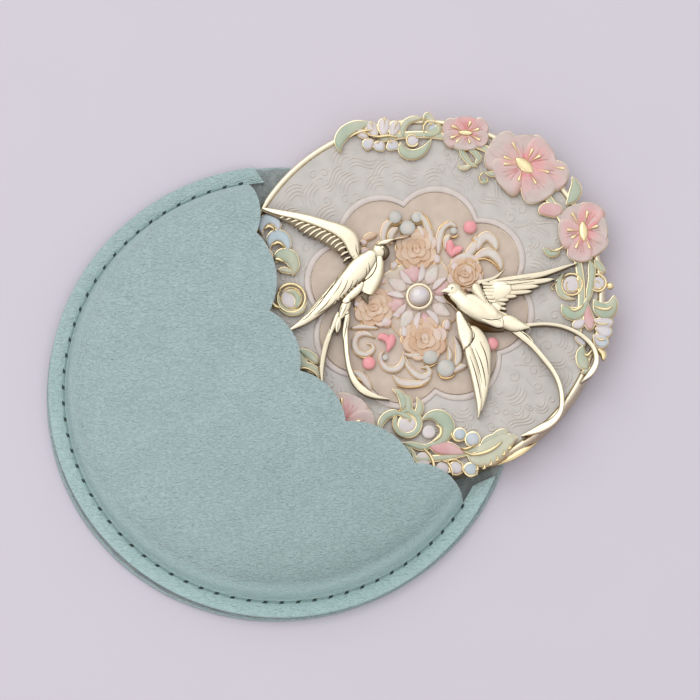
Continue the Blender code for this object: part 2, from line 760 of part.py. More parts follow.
# Swallows


def wing_outline(root_front, lead_one, lead_two, tip, root_back):
    """A smooth leading edge out to the tip, and feathers stepping back to the body."""
    corners = [place(*shares) for shares in (root_front, lead_one, lead_two, tip, root_back)]
    lead = [bezier(*corners[:4], step / wing_edge_samples) for step in range(wing_edge_samples + 1)]
    back = corners[4] - corners[3]
    inward = Vector((-back.y, back.x))
    if inward.dot(corners[0] - corners[3]) < 0:
        inward = -inward
    trail = []
    for feather in range(1, feathers):
        share = feather / feathers
        tip_at = corners[3] + back * share
        trail += [tip_at - back * feather_slant / feathers + inward * feather_depth_part * share, tip_at]
    return lead + trail + [corners[4]]


def build_swallow(name, body, wings, streamers):
    spine = smooth_path([place(*shares) for shares in body], body_samples)
    radii = [mix(body_radius_shares, i / (body_samples - 1)) * mirror_radius for i in range(body_samples)]
    middle = swallow_bottom + swallow_height / 2
    flatness = swallow_height / (2 * max(radii))
    pieces = [tube(f"{name}_body", spine, radii, middle, gold, flatness)]
    for index, wing in enumerate(wings):
        half = swallow_height * wing_thickness_part / 2 - wing_step * index
        outline = wing_outline(*wing)
        pieces.append(plate(f"{name}_wing_{index}", [outline], middle - half, middle + half, gold))
    for index, knots in enumerate(streamers):
        path = smooth_path([place(*shares) for shares in knots], streamer_samples)
        radii = [mix(streamer_radius_shares, i / (streamer_samples - 1)) * mirror_radius
                 for i in range(streamer_samples)]
        pieces.append(tube(f"{name}_streamer_{index}", path, radii, middle, gold, streamer_flatness, 1))
    fused(name, pieces, gold)


build_sleeve()
build_tray()
build_enamel()
build_rosette()
build_garland("upper", upper_vine_angles, upper_blossom_shares, upper_leaf_shares,
              upper_bud_shares, upper_ring_shares)
build_garland("lower", lower_vine_angles, lower_blossom_shares, lower_leaf_shares,
              lower_bud_shares, lower_ring_shares)
build_swallow("left_swallow", left_body_shares, left_wing_shares, left_streamer_shares)
build_swallow("right_swallow", right_body_shares, right_wing_shares, right_streamer_shares)
print(f"sleeve {2 * sleeve_radius:.4f} m across, {roof_bottom + wall_stack:.4f} m high")
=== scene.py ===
"""Looks of the pocket mirror with its relief back, half drawn out of its leather sleeve.

Strokes of the relief are written in pixels of the photograph, and world() takes them to the
frame. Heights are in millimetres above the table.
"""
import math
import random

import bpy
import numpy as np
from mathutils import Matrix, Vector
from mathutils.bvhtree import BVHTree

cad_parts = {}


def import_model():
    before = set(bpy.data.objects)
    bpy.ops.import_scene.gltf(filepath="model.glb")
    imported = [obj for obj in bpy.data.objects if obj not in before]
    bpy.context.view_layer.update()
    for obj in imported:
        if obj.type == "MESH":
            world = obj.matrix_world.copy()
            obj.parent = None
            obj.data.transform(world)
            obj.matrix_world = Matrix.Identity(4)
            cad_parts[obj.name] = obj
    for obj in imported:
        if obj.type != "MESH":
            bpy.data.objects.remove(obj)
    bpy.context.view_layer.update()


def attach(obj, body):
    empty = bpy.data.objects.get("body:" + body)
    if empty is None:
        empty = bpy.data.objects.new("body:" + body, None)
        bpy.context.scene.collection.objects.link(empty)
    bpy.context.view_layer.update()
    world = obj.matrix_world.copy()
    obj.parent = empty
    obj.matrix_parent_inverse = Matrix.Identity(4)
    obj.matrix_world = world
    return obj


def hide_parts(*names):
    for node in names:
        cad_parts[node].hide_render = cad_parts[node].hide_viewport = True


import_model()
random.seed(7)

MM = 0.001

# The least radius of a turned shell's loops, in millimetres
AXIS = 0.001

# The mirror's radius, its turn in the frame and its middle at rest, in metres
RADIUS = 0.0391
TURN = math.radians(-33.8)
CENTRE = np.array((0.035, 0))
SPIN = np.array(((math.cos(TURN), -math.sin(TURN)), (math.sin(TURN), math.cos(TURN))))

# The mirror's middle in the photograph and its reach across and up from there, in pixels
HUB = (420.5, 298)
REACH = (184, 179)

# The turn of the medallion's first cusp, from the mirror's own axis
CUSP_TURN = math.radians(9.5)

# The way off from the light, in the photograph and in the frame
AWAY = np.array((0.35, 0.94))
AWAY_HERE = SPIN @ (AWAY * (1, -1))

# Heights of the mirror's layers, from the CAD model
WEB, ENAMEL, ONLAY, FILL, STAMEN, BIRD = 4.95, 5.30, 5.75, 6.15, 6.75, 6.77


# Places

def world(points):
    """Pixels of the photograph to metres in the frame's plane."""
    points = np.asarray(points, float)
    shares = np.stack(((points[..., 0] - HUB[0]) / REACH[0], (HUB[1] - points[..., 1]) / REACH[1]), -1)
    return CENTRE + RADIUS * shares @ SPIN.T


def in_mm(points):
    """Millimetres round the origin to metres."""
    return points * MM


def around(steps):
    return np.linspace(0, math.tau, steps, endpoint=False)


def circle(turns):
    return np.stack((np.cos(turns), np.sin(turns)), -1)


def from_polar(centre, radius, turn):
    return centre[0] + radius * math.cos(turn), centre[1] + radius * math.sin(turn)


def at_height(ground, height):
    """A loop of points in metres, at a height in millimetres."""
    return np.column_stack((ground, np.full(len(ground), height * MM)))


def directions(path):
    """Unit vectors along a path and off to its side."""
    heading = np.gradient(path, axis=0)
    heading /= np.maximum(np.hypot(heading[:, 0], heading[:, 1]), 1e-9)[:, None]
    return heading, np.stack((-heading[:, 1], heading[:, 0]), -1)


def smooth(knots, samples, ease=True):
    """Catmull-Rom rows through the knots, packed towards the ends on request."""
    knots = np.asarray(knots, float)
    t = np.linspace(0, 1, samples)
    if ease:
        t = (t + (1 - np.cos(np.pi * t)) / 2) / 2
    ends = np.vstack((2 * knots[0] - knots[1], knots, 2 * knots[-1] - knots[-2]))
    at = t * (len(knots) - 1)
    low = np.minimum(at.astype(int), len(knots) - 2)
    f = (at - low)[:, None]
    a, b, c, d = ends[low], ends[low + 1], ends[low + 2], ends[low + 3]
    rows = (2 * b + (c - a) * f + (2 * a - 5 * b + 4 * c - d) * f ** 2 + (3 * b - a - 3 * c + d) * f ** 3) / 2
    return rows, t


def along(values, t):
    """A single number, or knots spread evenly along t."""
    values = np.atleast_1d(np.asarray(values, float))
    return np.interp(t, np.linspace(0, 1, len(values)), values) if len(values) > 1 else values[0] + 0 * t


# Heights across a stroke, from -1 on one side to 1 on the other
SECTIONS = {
    "dome": lambda s: np.sqrt(np.clip(1 - s * s, 0, 1)),
    "soft": lambda s: (1 - s * s) ** 0.8,
    "flat": lambda s: 1 - np.abs(s) ** 7,
    "slab": lambda s: 1 - 0.25 * s * s - 0.75 * np.abs(s) ** 6,
    "left slab": lambda s: (0.80 - 0.20 * s) * (1 - np.abs(s) ** 8),
    "right slab": lambda s: (0.80 + 0.20 * s) * (1 - np.abs(s) ** 8),
    "roof": lambda s: 1 - np.abs(s) ** 1.2,
    "left": lambda s: np.clip((1 - s) / 2, 0, 1) ** 0.7 * (1 - np.abs(s) ** 10),
    "cup": lambda s: 0.40 + 0.70 * s * s - 1.10 * np.abs(s) ** 9,
    "vein": lambda s: (1 - s * s) ** 0.6 - 0.3 * np.exp(-(s * 7) ** 2),
}

# Looks by name: each a material and its slot
LOOKS = {}

# Sockets of a Mix node that is set to colours
FACTOR, COLOUR_A, COLOUR_B, MIXED = 0, 6, 7, 2


class Shells:
    """Closed shells that become one object.

    Each has a shade from 0 to 1 for its material, and an edge from -1, on edges that face the top left of the
    photograph, to 1 on edges that face away from it. The materials paint highlight and shade from the edge,
    and on the gold castings the shade is painted shade.
    """

    def __init__(self):
        self.points, self.faces, self.shades, self.edges, self.size = [], [], [], [], 0

    def add(self, loops, shade, edges=0):
        """A shell through loops of as many points each, with a cap on its first and last loop."""
        loops = np.asarray(loops, float)
        rows, count = loops.shape[:2]
        index = np.arange(rows * count).reshape(rows, count)
        low, high = index[:-1], index[1:]
        quads = np.stack((low, np.roll(low, -1, 1), np.roll(high, -1, 1), high), -1).reshape(-1, 4)
        faces = quads.tolist() + [index[0][::-1].tolist(), index[-1].tolist()]
        flat = loops.reshape(-1, 3)
        local = flat - flat.mean(0)
        volume = 0
        for a, b, c in ((0, 1, 2), (0, 2, 3)):
            spanned = np.cross(local[quads[:, b]], local[quads[:, c]])
            volume += np.einsum("ij,ij->", local[quads[:, a]], spanned)
        if volume < 0:
            faces = [face[::-1] for face in faces]
        self.points.append(flat)
        self.faces += [[corner + self.size for corner in face] for face in faces]
        for values, kept in ((shade, self.shades), (edges, self.edges)):
            kept.append(np.broadcast_to(np.asarray(values, float), (rows, count)).ravel())
        self.size += rows * count

    def ring(self, loops):
        """Loops that close on themselves, without caps."""
        first_face, first = len(self.faces), self.size
        self.add(loops, 0)
        del self.faces[-2:]
        count = len(loops[0])
        last = self.size - count
        flip = self.faces[first_face][1] != first + 1
        for step in range(count):
            after = (step + 1) % count
            face = [last + step, last + after, first + after, first + step]
            self.faces.append(face[::-1] if flip else face)

    def stroke(self, knots, z, crown, edge=0.1, shade=0, section="dome", samples=0, cross=9, tip=(0, 0),
               rim=0, margin=0, warp=world):
        """A bar along knots of x, y and half width, with a domed top and round or cut ends."""
        knots = np.array(knots, float)
        if margin:
            for end, inner in ((0, 1), (-1, -2)):
                step = knots[end, :2] - knots[inner, :2]
                knots[end, :2] += step / max(np.hypot(*step), 1e-9) * margin
            knots[:, 2] += margin
        samples = samples or 6 + 4 * len(knots)
        rows, t = smooth(knots, samples)
        path, half = rows[:, :2], np.clip(rows[:, 2], 0.02, None)
        tips = [(share, u, sign) for share, u, sign in ((tip[0], t, -1), (tip[1], 1 - t, 1)) if share]
        for share, u, _ in tips:
            half = half * np.sqrt(np.clip(1 - (1 - np.clip(u / share, 0, 1)) ** 2, 0.0004, 1))
        heading, side = directions(path)
        s = -np.cos(np.pi * np.arange(cross) / (cross - 1))
        base = along(z, t)[:, None]
        squeeze = np.clip(half / max(half.max(), 1e-9) * 2.5, 0, 1)
        top = base + along(edge, t)[:, None] + (along(crown, t) * squeeze)[:, None] * SECTIONS[section](s)
        loops = np.empty((samples, cross + 2, 3))
        loops[:, 1:-1, :2] = warp(path[:, None] + side[:, None] * (half[:, None] * s)[..., None])
        loops[:, 1:-1, 2] = top * MM
        loops[:, 0], loops[:, -1] = loops[:, 1], loops[:, -2]
        loops[:, (0, -1), 2] = base * MM
        # rim raises the shade toward one side or both: on the gold castings this is painted shade along that
        # side
        left, right = rim if isinstance(rim, tuple) else (rim, rim)
        tone = np.empty((samples, cross + 2))
        tone[:, 1:-1] = along(shade, t)[:, None] + np.where(s < 0, left, right) * np.abs(s) ** 3
        tone[:, 0], tone[:, -1] = tone[:, 1], tone[:, -2]
        # The edge: how each side and tip faces from the light, for painted highlight and painted shade
        sides = np.array((-1, *s, 1))
        edges = (side @ AWAY)[:, None] * (np.sign(sides) * np.abs(sides) ** 4)
        for share, u, sign in tips:
            edges += sign * ((heading @ AWAY) * np.clip(1 - u / share, 0, 1) ** 3)[:, None]
        self.add(loops, np.clip(tone, 0, 1), np.clip(edges, -1, 1))

    def disc(self, centre, reach, z, crown, edge=0.1, shade=0, rings=5, steps=36, section="dome"):
        """A domed disc whose rim is at reach(turn) pixels, with shade knots from its middle out."""
        turns = around(steps)
        rim = np.array([reach(turn) if callable(reach) else reach for turn in turns])
        spans = np.sin(np.linspace(0.04, 1, rings + 1) * np.pi / 2)
        loops, tones, edges = [], [], []
        for span, level in [(1, 0)] + [(span, 1) for span in spans[::-1]]:
            height = z + level * (edge + crown * float(SECTIONS[section](np.array(span))))
            loops.append(at_height(world(centre + (span * rim)[:, None] * circle(turns)), height))
            tones.append(np.full(steps, along(shade, np.array([span]))[0]))
            # The rim's edge by the way it faces from the light: painted highlight and shade
            edges.append(span ** 4 * (AWAY[0] * np.cos(turns) + AWAY[1] * np.sin(turns)))
        self.add(loops, tones, edges)

    def wire(self, knots, z, radius, samples):
        """A round wire along knots of x and y, all in millimetres round the origin."""
        path, t = smooth(knots, samples, False)
        ground = in_mm(path)
        side = directions(ground)[1]
        turns = around(8)
        thick = along(radius, t) * MM
        loops = np.empty((samples, 8, 3))
        loops[..., :2] = ground[:, None] + side[:, None] * (thick[:, None] * np.cos(turns))[..., None]
        loops[..., 2] = (along(z, t) * MM)[:, None] + thick[:, None] * np.sin(turns)
        self.add(loops, 0)

    def lathe(self, profile, steps, centre=CENTRE, shade=0, tilt=0):
        """A turned shell. Its profile of radius and height, in millimetres, starts and ends on the axis."""
        turns = around(steps)
        loops = [at_height(centre + max(radius, AXIS) * MM * circle(turns), height)
                 for radius, height in profile]
        # The tilt sets the edge by the way each side faces from the light: painted highlight and shade
        self.add(loops, shade, tilt * (AWAY_HERE[0] * np.cos(turns) + AWAY_HERE[1] * np.sin(turns)))

    def drape(self, lines):
        """Dark lines of painted shade, with thin ends, over what has been added so far, each a half width and
        its knots.
        """
        surface = BVHTree.FromPolygons(np.concatenate(self.points).tolist(), self.faces)
        for half, knots in lines:
            full = 1.6 * half
            widths = [0.35 * full] + [full] * (len(knots) - 2) + [0.35 * full]
            rows, _ = smooth(np.column_stack((knots, widths)), 8 + 6 * len(knots), False)
            path, half = rows[:, :2], np.clip(rows[:, 2], 0.05, None)
            side = directions(path)[1]
            ground = world(path[:, None] + side[:, None] * (half[:, None] * np.array((-1, 0, 1)))[..., None])
            heights = np.full(ground.shape[:2], np.nan)
            for row, column in np.ndindex(*heights.shape):
                hit = surface.ray_cast(Vector((*ground[row, column], 0.02)), Vector((0, 0, -1)))[0]
                if hit:
                    heights[row, column] = hit.z
            missed = np.isnan(heights)
            heights[missed] = heights[~missed].mean()
            loops = np.empty((len(path), 5, 3))
            loops[:, 1:4, :2] = ground
            loops[:, 1:4, 2] = heights + np.array((-0.01, 0.02, -0.01)) * MM
            loops[:, 0], loops[:, 4] = loops[:, 1], loops[:, 3]
            loops[:, (0, 4), 2] = heights.min(1)[:, None] - 0.15 * MM
            self.add(loops, 1)

    def build(self, name, look, *nodes, body="mirror", sharp=42):
        """The object: it rides on a body and takes the place of the nodes that are named."""
        mesh = bpy.data.meshes.new(name)
        mesh.from_pydata(np.concatenate(self.points).tolist(), [], self.faces)
        for attribute, values in (("shade", self.shades), ("edge", self.edges)):
            made = mesh.attributes.new(attribute, "FLOAT", "POINT")
            made.data.foreach_set("value", np.concatenate(values).astype(np.float32))
        material, slot = LOOKS[look]
        mesh.materials.append(material)
        mesh.shade_smooth()
        mesh.set_sharp_from_angle(angle=math.radians(sharp))
        obj = bpy.data.objects.new(name, mesh)
        bpy.context.scene.collection.objects.link(obj)
        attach(obj, body)
        if nodes:
            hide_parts(*nodes)
        return obj


# Materials

def linear(red, green, blue):
    """A colour read from the photograph, 0 to 255, as a shader takes it."""
    values = [value / 255 for value in (red, green, blue)]
    return tuple(v / 12.92 if v <= 0.04045 else ((v + 0.055) / 1.055) ** 2.4 for v in values)


class Look:
    """A node material that is put together step by step."""

    def __init__(self, name, slot="", **sockets):
        self.material = bpy.data.materials.new(name)
        self.material.use_nodes = True
        self.tree = self.material.node_tree
        self.shader = self.tree.nodes["Principled BSDF"]
        self.give(self.shader, sockets)
        self.place = self.node("ShaderNodeTexCoord").outputs["Object"]
        LOOKS[name] = self.material, slot or name

    def give(self, node, values):
        """Values for a node's sockets, and for its settings where it has no such socket."""
        for key, value in values.items():
            socket = key.replace("_", " ")
            if socket in node.inputs.keys():
                node.inputs[socket].default_value = value
            else:
                setattr(node, key, value)

    def node(self, kind, **values):
        made = self.tree.nodes.new(kind)
        self.give(made, values)
        return made

    def link(self, source, goal):
        self.tree.links.new(source, goal)

    def feed(self, value, socket):
        """A socket gets a colour, a number or what another node puts out."""
        if isinstance(value, tuple):
            socket.default_value = (*value, 1)
        elif isinstance(value, (int, float)):
            socket.default_value = value
        else:
            self.link(value, socket)

    def noise(self, size, detail=3, roughness=0.55, stretch=None):
        """Noise with features of a size in millimetres."""
        made = self.node("ShaderNodeTexNoise", Scale=1 / (size * MM), Detail=detail, Roughness=roughness)
        place = self.place
        if stretch:
            bend = self.node("ShaderNodeMapping", vector_type="TEXTURE", Scale=stretch, Rotation=(0, 0, TURN))
            self.link(place, bend.inputs["Vector"])
            place = bend.outputs["Vector"]
        self.link(place, made.inputs["Vector"])
        return made.outputs["Fac"]

    def shade(self, name="shade"):
        return self.node("ShaderNodeAttribute", attribute_name=name).outputs["Fac"]

    def edges(self, colour, dark, deep, light, pale):
        """Painted shade in warm lines on the edges off the light, and painted highlight in pale ones on the
        edges in it.
        """
        edge = self.shade("edge")
        colour = self.mix(self.remap(edge, 0.12, 1, 0, deep), colour, linear(*dark))
        return self.mix(self.remap(edge, -0.3, -1, 0, pale), colour, linear(*light))

    def remap(self, source, low, high, out_low, out_high):
        made = self.node("ShaderNodeMapRange", From_Min=low, From_Max=high, To_Min=out_low, To_Max=out_high)
        self.link(source, made.inputs["Value"])
        return made.outputs["Result"]

    def drift(self, size, detail, low, high):
        """Noise whose middle range runs from one value to another."""
        return self.remap(self.noise(size, detail), 0.3, 0.7, low, high)

    def math(self, operation, a, b):
        made = self.node("ShaderNodeMath", operation=operation)
        for value, socket in zip((a, b), made.inputs):
            self.feed(value, socket)
        return made.outputs[0]

    def mix(self, factor, a, b, blend="MIX"):
        made = self.node("ShaderNodeMix", data_type="RGBA", blend_type=blend)
        for value, index in ((factor, FACTOR), (a, COLOUR_A), (b, COLOUR_B)):
            self.feed(value, made.inputs[index])
        return made.outputs[MIXED]

    def colour(self, source):
        self.link(source, self.shader.inputs["Base Color"])

    def rough(self, source):
        self.link(source, self.shader.inputs["Roughness"])

    def bump(self, *layers):
        """Layers of height, each with its depth in millimetres and its strength."""
        normal = None
        for source, depth, strength in layers:
            made = self.node("ShaderNodeBump", Distance=depth * MM, Strength=strength)
            self.link(source, made.inputs["Height"])
            if normal:
                self.link(normal, made.inputs["Normal"])
            normal = made.outputs["Normal"]
        self.link(normal, self.shader.inputs["Normal"])


def under_gloss(tone, lift=1.07):
    """The body colour of an enamel that shows as a tone once it lies among the walls of the casting."""
    return (*(min(1, value * lift) for value in linear(*tone)), 1)


def enamel(name, slot, roughness, grain, *tones):
    """Cast enamel: tones from shade 0 to 1, a little cloudy, with the faint grain of cold enamel, and painted
    shade and highlight along its edges.
    """
    look = Look(name, slot, Roughness=roughness, Coat_Weight=0.35, Coat_Roughness=0.22)
    ramp = look.node("ShaderNodeValToRGB")
    look.link(look.math("ADD", look.shade(), look.drift(1.9, 2, -0.16, 0.16)), ramp.inputs["Fac"])
    stops = ramp.color_ramp.elements
    stops[0].color = under_gloss(tones[0])
    stops[1].color = under_gloss(tones[-1])
    for index, tone in enumerate(tones[1:-1], 1):
        stops.new(index / (len(tones) - 1)).color = under_gloss(tone)
    cloud = look.drift(2.4, 2, 0.93, 1.05)
    soft = look.node("ShaderNodeCombineColor")
    for socket in soft.inputs:
        look.link(cloud, socket)
    colour = look.mix(1, ramp.outputs["Color"], soft.outputs["Color"], "MULTIPLY")
    # Warm painted shade on the edges off the light, pale painted highlight on the edges in it
    look.colour(look.edges(colour, (168, 126, 80), 0.58, (246, 236, 212), 0.55))
    look.rough(look.drift(0.9, 3, roughness - 0.08, roughness + 0.1))
    look.bump((look.noise(1.6, 2), 0.05, grain), (look.noise(0.25, 2), 0.01, grain))


def plated(name, tint, roughness):
    """Pale plated casting, softly polished, with the waves of hand polishing; its shade paints shade in dark
    brown, and its edges take painted shade and highlight.
    """
    look = Look(name, "plated_gold", Roughness=roughness, Metallic=1)
    wear = look.remap(look.noise(1.8, 4), 0.35, 0.7, 0, 1)
    bright = look.mix(wear, linear(*tint), linear(*[min(255, value + 7) for value in tint]))
    # Brown painted shade on the edges off the light, pale painted highlight on the edges in it
    colour = look.edges(bright, (142, 98, 48), 0.75, (253, 243, 212), 0.5)
    # The shade mixes in dark brown: painted shade in gaps, hollows, walls and shaded sides
    look.colour(look.mix(look.shade(), colour, linear(72, 50, 28)))
    look.rough(look.drift(0.6, 4, roughness - 0.04, roughness + 0.05))
    look.bump((look.noise(2.2, 2), 0.03, 0.35))


def leather(name, face, deep, full, roughness):
    """Embossed leather: thin creases that run one way round low pebbles, with painted shade in the creases
    and toward the side away from the light, and painted fill light on the shoulder and flange.
    """
    look = Look(name, "teal_leather", Roughness=roughness, Specular_IOR_Level=0.6, Sheen_Weight=0.08,
                Sheen_Roughness=0.5)
    lines = []
    for size, stretch, sharp in ((0.70, (2, 0.9, 1), 8.5), (0.50, (1.6, 0.85, 1), 7)):
        away = look.math("ABSOLUTE", look.math("SUBTRACT", look.noise(size, 1, 0.5, stretch), 0.5), 0)
        lines.append(look.math("MAXIMUM", look.math("SUBTRACT", 1, look.math("MULTIPLY", away, sharp)), 0))
    crease = look.math("ADD", look.math("MULTIPLY", lines[0], 0.6), look.math("MULTIPLY", lines[1], 0.4))
    swell = look.noise(0.95, 2, 0.5, (1.8, 0.85, 1))
    # The creases darker: painted shade in them
    colour = look.mix(look.remap(crease, 0.35, 0.95, 0, 0.22), linear(*face), linear(*deep))
    colour = look.mix(look.math("MULTIPLY", look.drift(9, 2, 0, 0.35), 0.5), colour, linear(*deep))
    # Darker toward the side away from the light, most near the far rim: painted shade
    across = look.shade("edge")
    for low, high, share in ((0.05, 0.95, 0.22), (0.70, 0.97, 0.32)):
        colour = look.mix(look.remap(across, low, high, 0, share), colour, linear(*deep))
    # A paler teal on the shoulder and flange, strongest on the side away from the light: painted fill light
    painted_fill_light = look.math("MULTIPLY", look.shade(), look.remap(across, -1, 1, 0.35, 1))
    look.colour(look.mix(painted_fill_light, colour, linear(*full)))
    look.rough(look.remap(crease, 0.2, 0.9, roughness - 0.04, roughness + 0.16))
    look.bump((swell, 0.38, 1), (look.math("MULTIPLY", crease, -1), 0.16, 1))


def suede(name, face, deep):
    look = Look(name, Roughness=0.95, Specular_IOR_Level=0.15, Sheen_Weight=0.35)
    nap = look.noise(0.45, 5, 0.7, (1, 0.4, 1))
    tone = look.math("ADD", look.math("MULTIPLY", nap, 0.7), look.math("MULTIPLY", look.noise(2.6, 4), 0.4))
    look.colour(look.mix(look.remap(tone, 0.35, 0.75, 0, 1), linear(*deep), linear(*face)))
    look.bump((nap, 0.18, 0.9), (look.noise(0.12, 3), 0.05, 0.7))


def yarn(name, face):
    look = Look(name, "teal_thread", Roughness=0.7, Sheen_Weight=0.3)
    strand = look.noise(0.14, 3, 0.6)
    look.colour(look.mix(strand, linear(*[value * 0.75 for value in face]), linear(*face)))
    look.bump((strand, 0.06, 0.9))


def nacre(name, tones):
    """Pearl: soft bands of rose and blue under a clear skin, with painted shade where the shell turns down
    and painted highlight and shade by the side it faces from the light.
    """
    look = Look(name, Roughness=0.2, Coat_Weight=1, Coat_Roughness=0.10, Coat_IOR=2, Sheen_Weight=0.2)
    band = look.noise(2.2, 1)
    sheen = look.mix(look.remap(band, 0.35, 0.65, 0, 1), linear(*tones[0]), linear(*tones[1]))
    # Warmer and darker toward the rim: painted shade
    sheen = look.mix(look.shade(), sheen, linear(212, 190, 162))
    look.colour(look.edges(sheen, (150, 120, 104), 0.85, (238, 232, 230), 0.6))
    look.rough(look.drift(1.1, 2, 0.16, 0.28))
    look.bump((look.noise(1.2, 1), 0.02, 0.3))


def silvered(name):
    look = Look(name, Roughness=0.03, Metallic=1)
    smear = look.noise(7, 3)
    look.colour(look.mix(smear, linear(232, 236, 238), linear(244, 246, 247)))
    look.rough(look.remap(smear, 0.35, 0.75, 0.015, 0.06))
    look.bump((look.noise(9, 1), 0.01, 0.15))


def tape(name):
    look = Look(name, Roughness=0.7)
    look.colour(look.mix(look.noise(0.3, 3), linear(222, 222, 218), linear(240, 240, 236)))
    look.bump((look.noise(0.2, 2), 0.03, 0.8))


plated("plated_gold", (250, 238, 210), 0.29)
plated("plated_gold_warm", (247, 227, 180), 0.22)
plated("plated_gold_shaded", (238, 204, 150), 0.26)
for values in (
        ("grey_enamel", "grey_enamel", 0.42, 0.4, (197, 192, 186), (198, 193, 188)),
        ("beige_enamel", "beige_enamel", 0.46, 0.4, (206, 190, 176), (197, 178, 161)),
        ("blush_enamel", "blush_enamel", 0.36, 0.5, (213, 201, 195), (208, 192, 188)),
        ("petal_enamel", "pink_enamel", 0.34, 0.5, (229, 149, 151), (220, 174, 171), (208, 183, 178),
         (204, 190, 183)),
        ("rose_enamel", "rose_enamel", 0.32, 0.5, (238, 158, 162), (238, 184, 184)),
        ("bud_enamel", "rose_enamel", 0.34, 0.5, (220, 160, 162), (212, 182, 178)),
        ("green_enamel", "green_enamel", 0.36, 0.5, (168, 184, 162), (184, 190, 166), (210, 206, 182)),
        ("lilac_enamel", "lilac_enamel", 0.34, 0.5, (220, 210, 209), (208, 206, 211), (184, 200, 208)),
        ("rosette_enamel", "lilac_enamel", 0.36, 0.5, (218, 207, 203), (220, 178, 178), (216, 208, 198)),
        ("tan_enamel", "tan_enamel", 0.42, 0.5, (208, 172, 142), (218, 192, 168), (224, 202, 192)),
        ("bead_enamel", "pearl_white", 0.28, 0.5, (205, 198, 190), (192, 198, 195))):
    enamel(*values)
nacre("pearl_white", ((232, 221, 214), (222, 214, 220)))
leather("teal_leather", (173, 194, 195), (120, 150, 147), (190, 222, 220), 0.40)
leather("teal_leather_edge", (192, 206, 206), (160, 181, 180), (192, 206, 206), 0.7)
suede("grey_suede", (182, 189, 190), (106, 118, 121))
yarn("teal_thread", (158, 190, 187))
yarn("teal_thread_shadow", (38, 62, 62))
silvered("silvered_glass")
tape("white_tape")


# Sleeve, in millimetres round the origin

ORIGIN = np.array((0, 0))
SEAM, LINING = 45.40, 48.00

# Heights of the front's roof and of the flange round it; between them an arc, the shoulder, with its
# middle, its two half axes and its foot
CROWN, FLANGE = 9.70, 2.55
SHOULDER, SPRING = 38.63, 4.87
OUT, RISE = 5.85, 4.73
SHOULDER_FOOT = 44.48

# The mouth starts on the seam and has its notches on an arc of its own; behind it all is cut away
MOUTH_X = 18.5
NOTCHES = [math.radians(turn) for turn in (33.6, 15.4, 0, -15.4, -33.6)]
NOTCH_CENTRE, NOTCH_RADIUS, SAG = 58.9, 54, 0.16
CLEAR = 60

# The flange runs on past the mouth's ends along the pocket's foot, up to a corner
FOOT, FLANGE_TURNS = 45.1, (1.140, 1.055)
LOWER_CORNER, UPPER_CORNER = (27.4, -40.1), 22.3

# Stitches: their distance and the place of the first one
PITCH, FIRST_X = 3.4, 17.9


def arc_between(start, end, rise, steps):
    """Points of an arc that rises to the right of the way from start to end, without the end itself."""
    chord = end - start
    ahead = chord.normalized()
    side = Vector((ahead.y, -ahead.x))
    half = chord.length / 2
    radius = (half ** 2 + rise ** 2) / (2 * rise)
    centre = (start + end) / 2 + side * (rise - radius)
    sweep = math.asin(half / radius)
    swings = [sweep * (2 * step / steps - 1) for step in range(steps)]
    return [centre + radius * (side * math.cos(swing) + ahead * math.sin(swing)) for swing in swings]


def mouth_line(steps=26):
    """The scalloped mouth, from its upper end on the seam to its lower one."""
    notches = [Vector((NOTCH_CENTRE - NOTCH_RADIUS * math.cos(turn), NOTCH_RADIUS * math.sin(turn)))
               for turn in NOTCHES]
    end_y = math.sqrt(SEAM ** 2 - MOUTH_X ** 2)
    stops = [Vector((MOUTH_X, end_y)), *notches, Vector((MOUTH_X, -end_y))]
    line = []
    for start, end in zip(stops, stops[1:]):
        line += arc_between(start, end, -SAG * (end - start).length, steps)
    return line + [stops[-1]]


def roof(radius):
    """Height of the front's leather at a radius, as far as the shoulder's foot."""
    if radius < SHOULDER:
        return CROWN - 0.10 * (radius / SHOULDER) ** 4
    if radius < SHOULDER_FOOT:
        return SPRING + RISE * math.sqrt(max(0, 1 - ((radius - SHOULDER) / OUT) ** 2))
    return FLANGE


def shoulder(out, rise, start, end, count):
    """An arc round the shoulder's middle, for a skin of the front."""
    return [(SHOULDER + out * math.sin(turn), SPRING + rise * math.cos(turn))
            for turn in np.linspace(start, end, count)]


def cut_by_mouth(obj, look):
    """Cuts the scalloped mouth, with a look for the cut edge; the flange runs on past the mouth's ends."""
    line = [(point.x, point.y) for point in mouth_line()]
    ends = [(FOOT * math.cos(turn), -FOOT * math.sin(turn)) for turn in np.linspace(*FLANGE_TURNS, 6)]
    corners = line + ends + [LOWER_CORNER, (CLEAR, LOWER_CORNER[1]), (CLEAR, CLEAR), (UPPER_CORNER, CLEAR)]
    corners += [(x, -y) for x, y in ends[::-1]]
    count = len(corners)
    points = [(x * MM, y * MM, height) for height in (0, 0.02) for x, y in corners]
    faces = [list(range(count))[::-1], list(range(count, 2 * count))]
    faces += [[i, (i + 1) % count, (i + 1) % count + count, i + count] for i in range(count)]
    mesh = bpy.data.meshes.new("mouth")
    mesh.from_pydata(points, [], faces)
    cutter = bpy.data.objects.new("mouth", mesh)
    bpy.context.scene.collection.objects.link(cutter)
    for cut_face in (mesh, obj.data):
        cut_face.materials.append(LOOKS[look][0])
    cut = obj.modifiers.new("cut", "BOOLEAN")
    cut.operation = "DIFFERENCE"
    cut.object = cutter
    cut.material_mode = "TRANSFER"
    bpy.context.view_layer.update()
    made = bpy.data.meshes.new_from_object(obj.evaluated_get(bpy.context.evaluated_depsgraph_get()))
    obj.modifiers.clear()
    obj.data = made
    bpy.data.objects.remove(cutter, do_unlink=True)


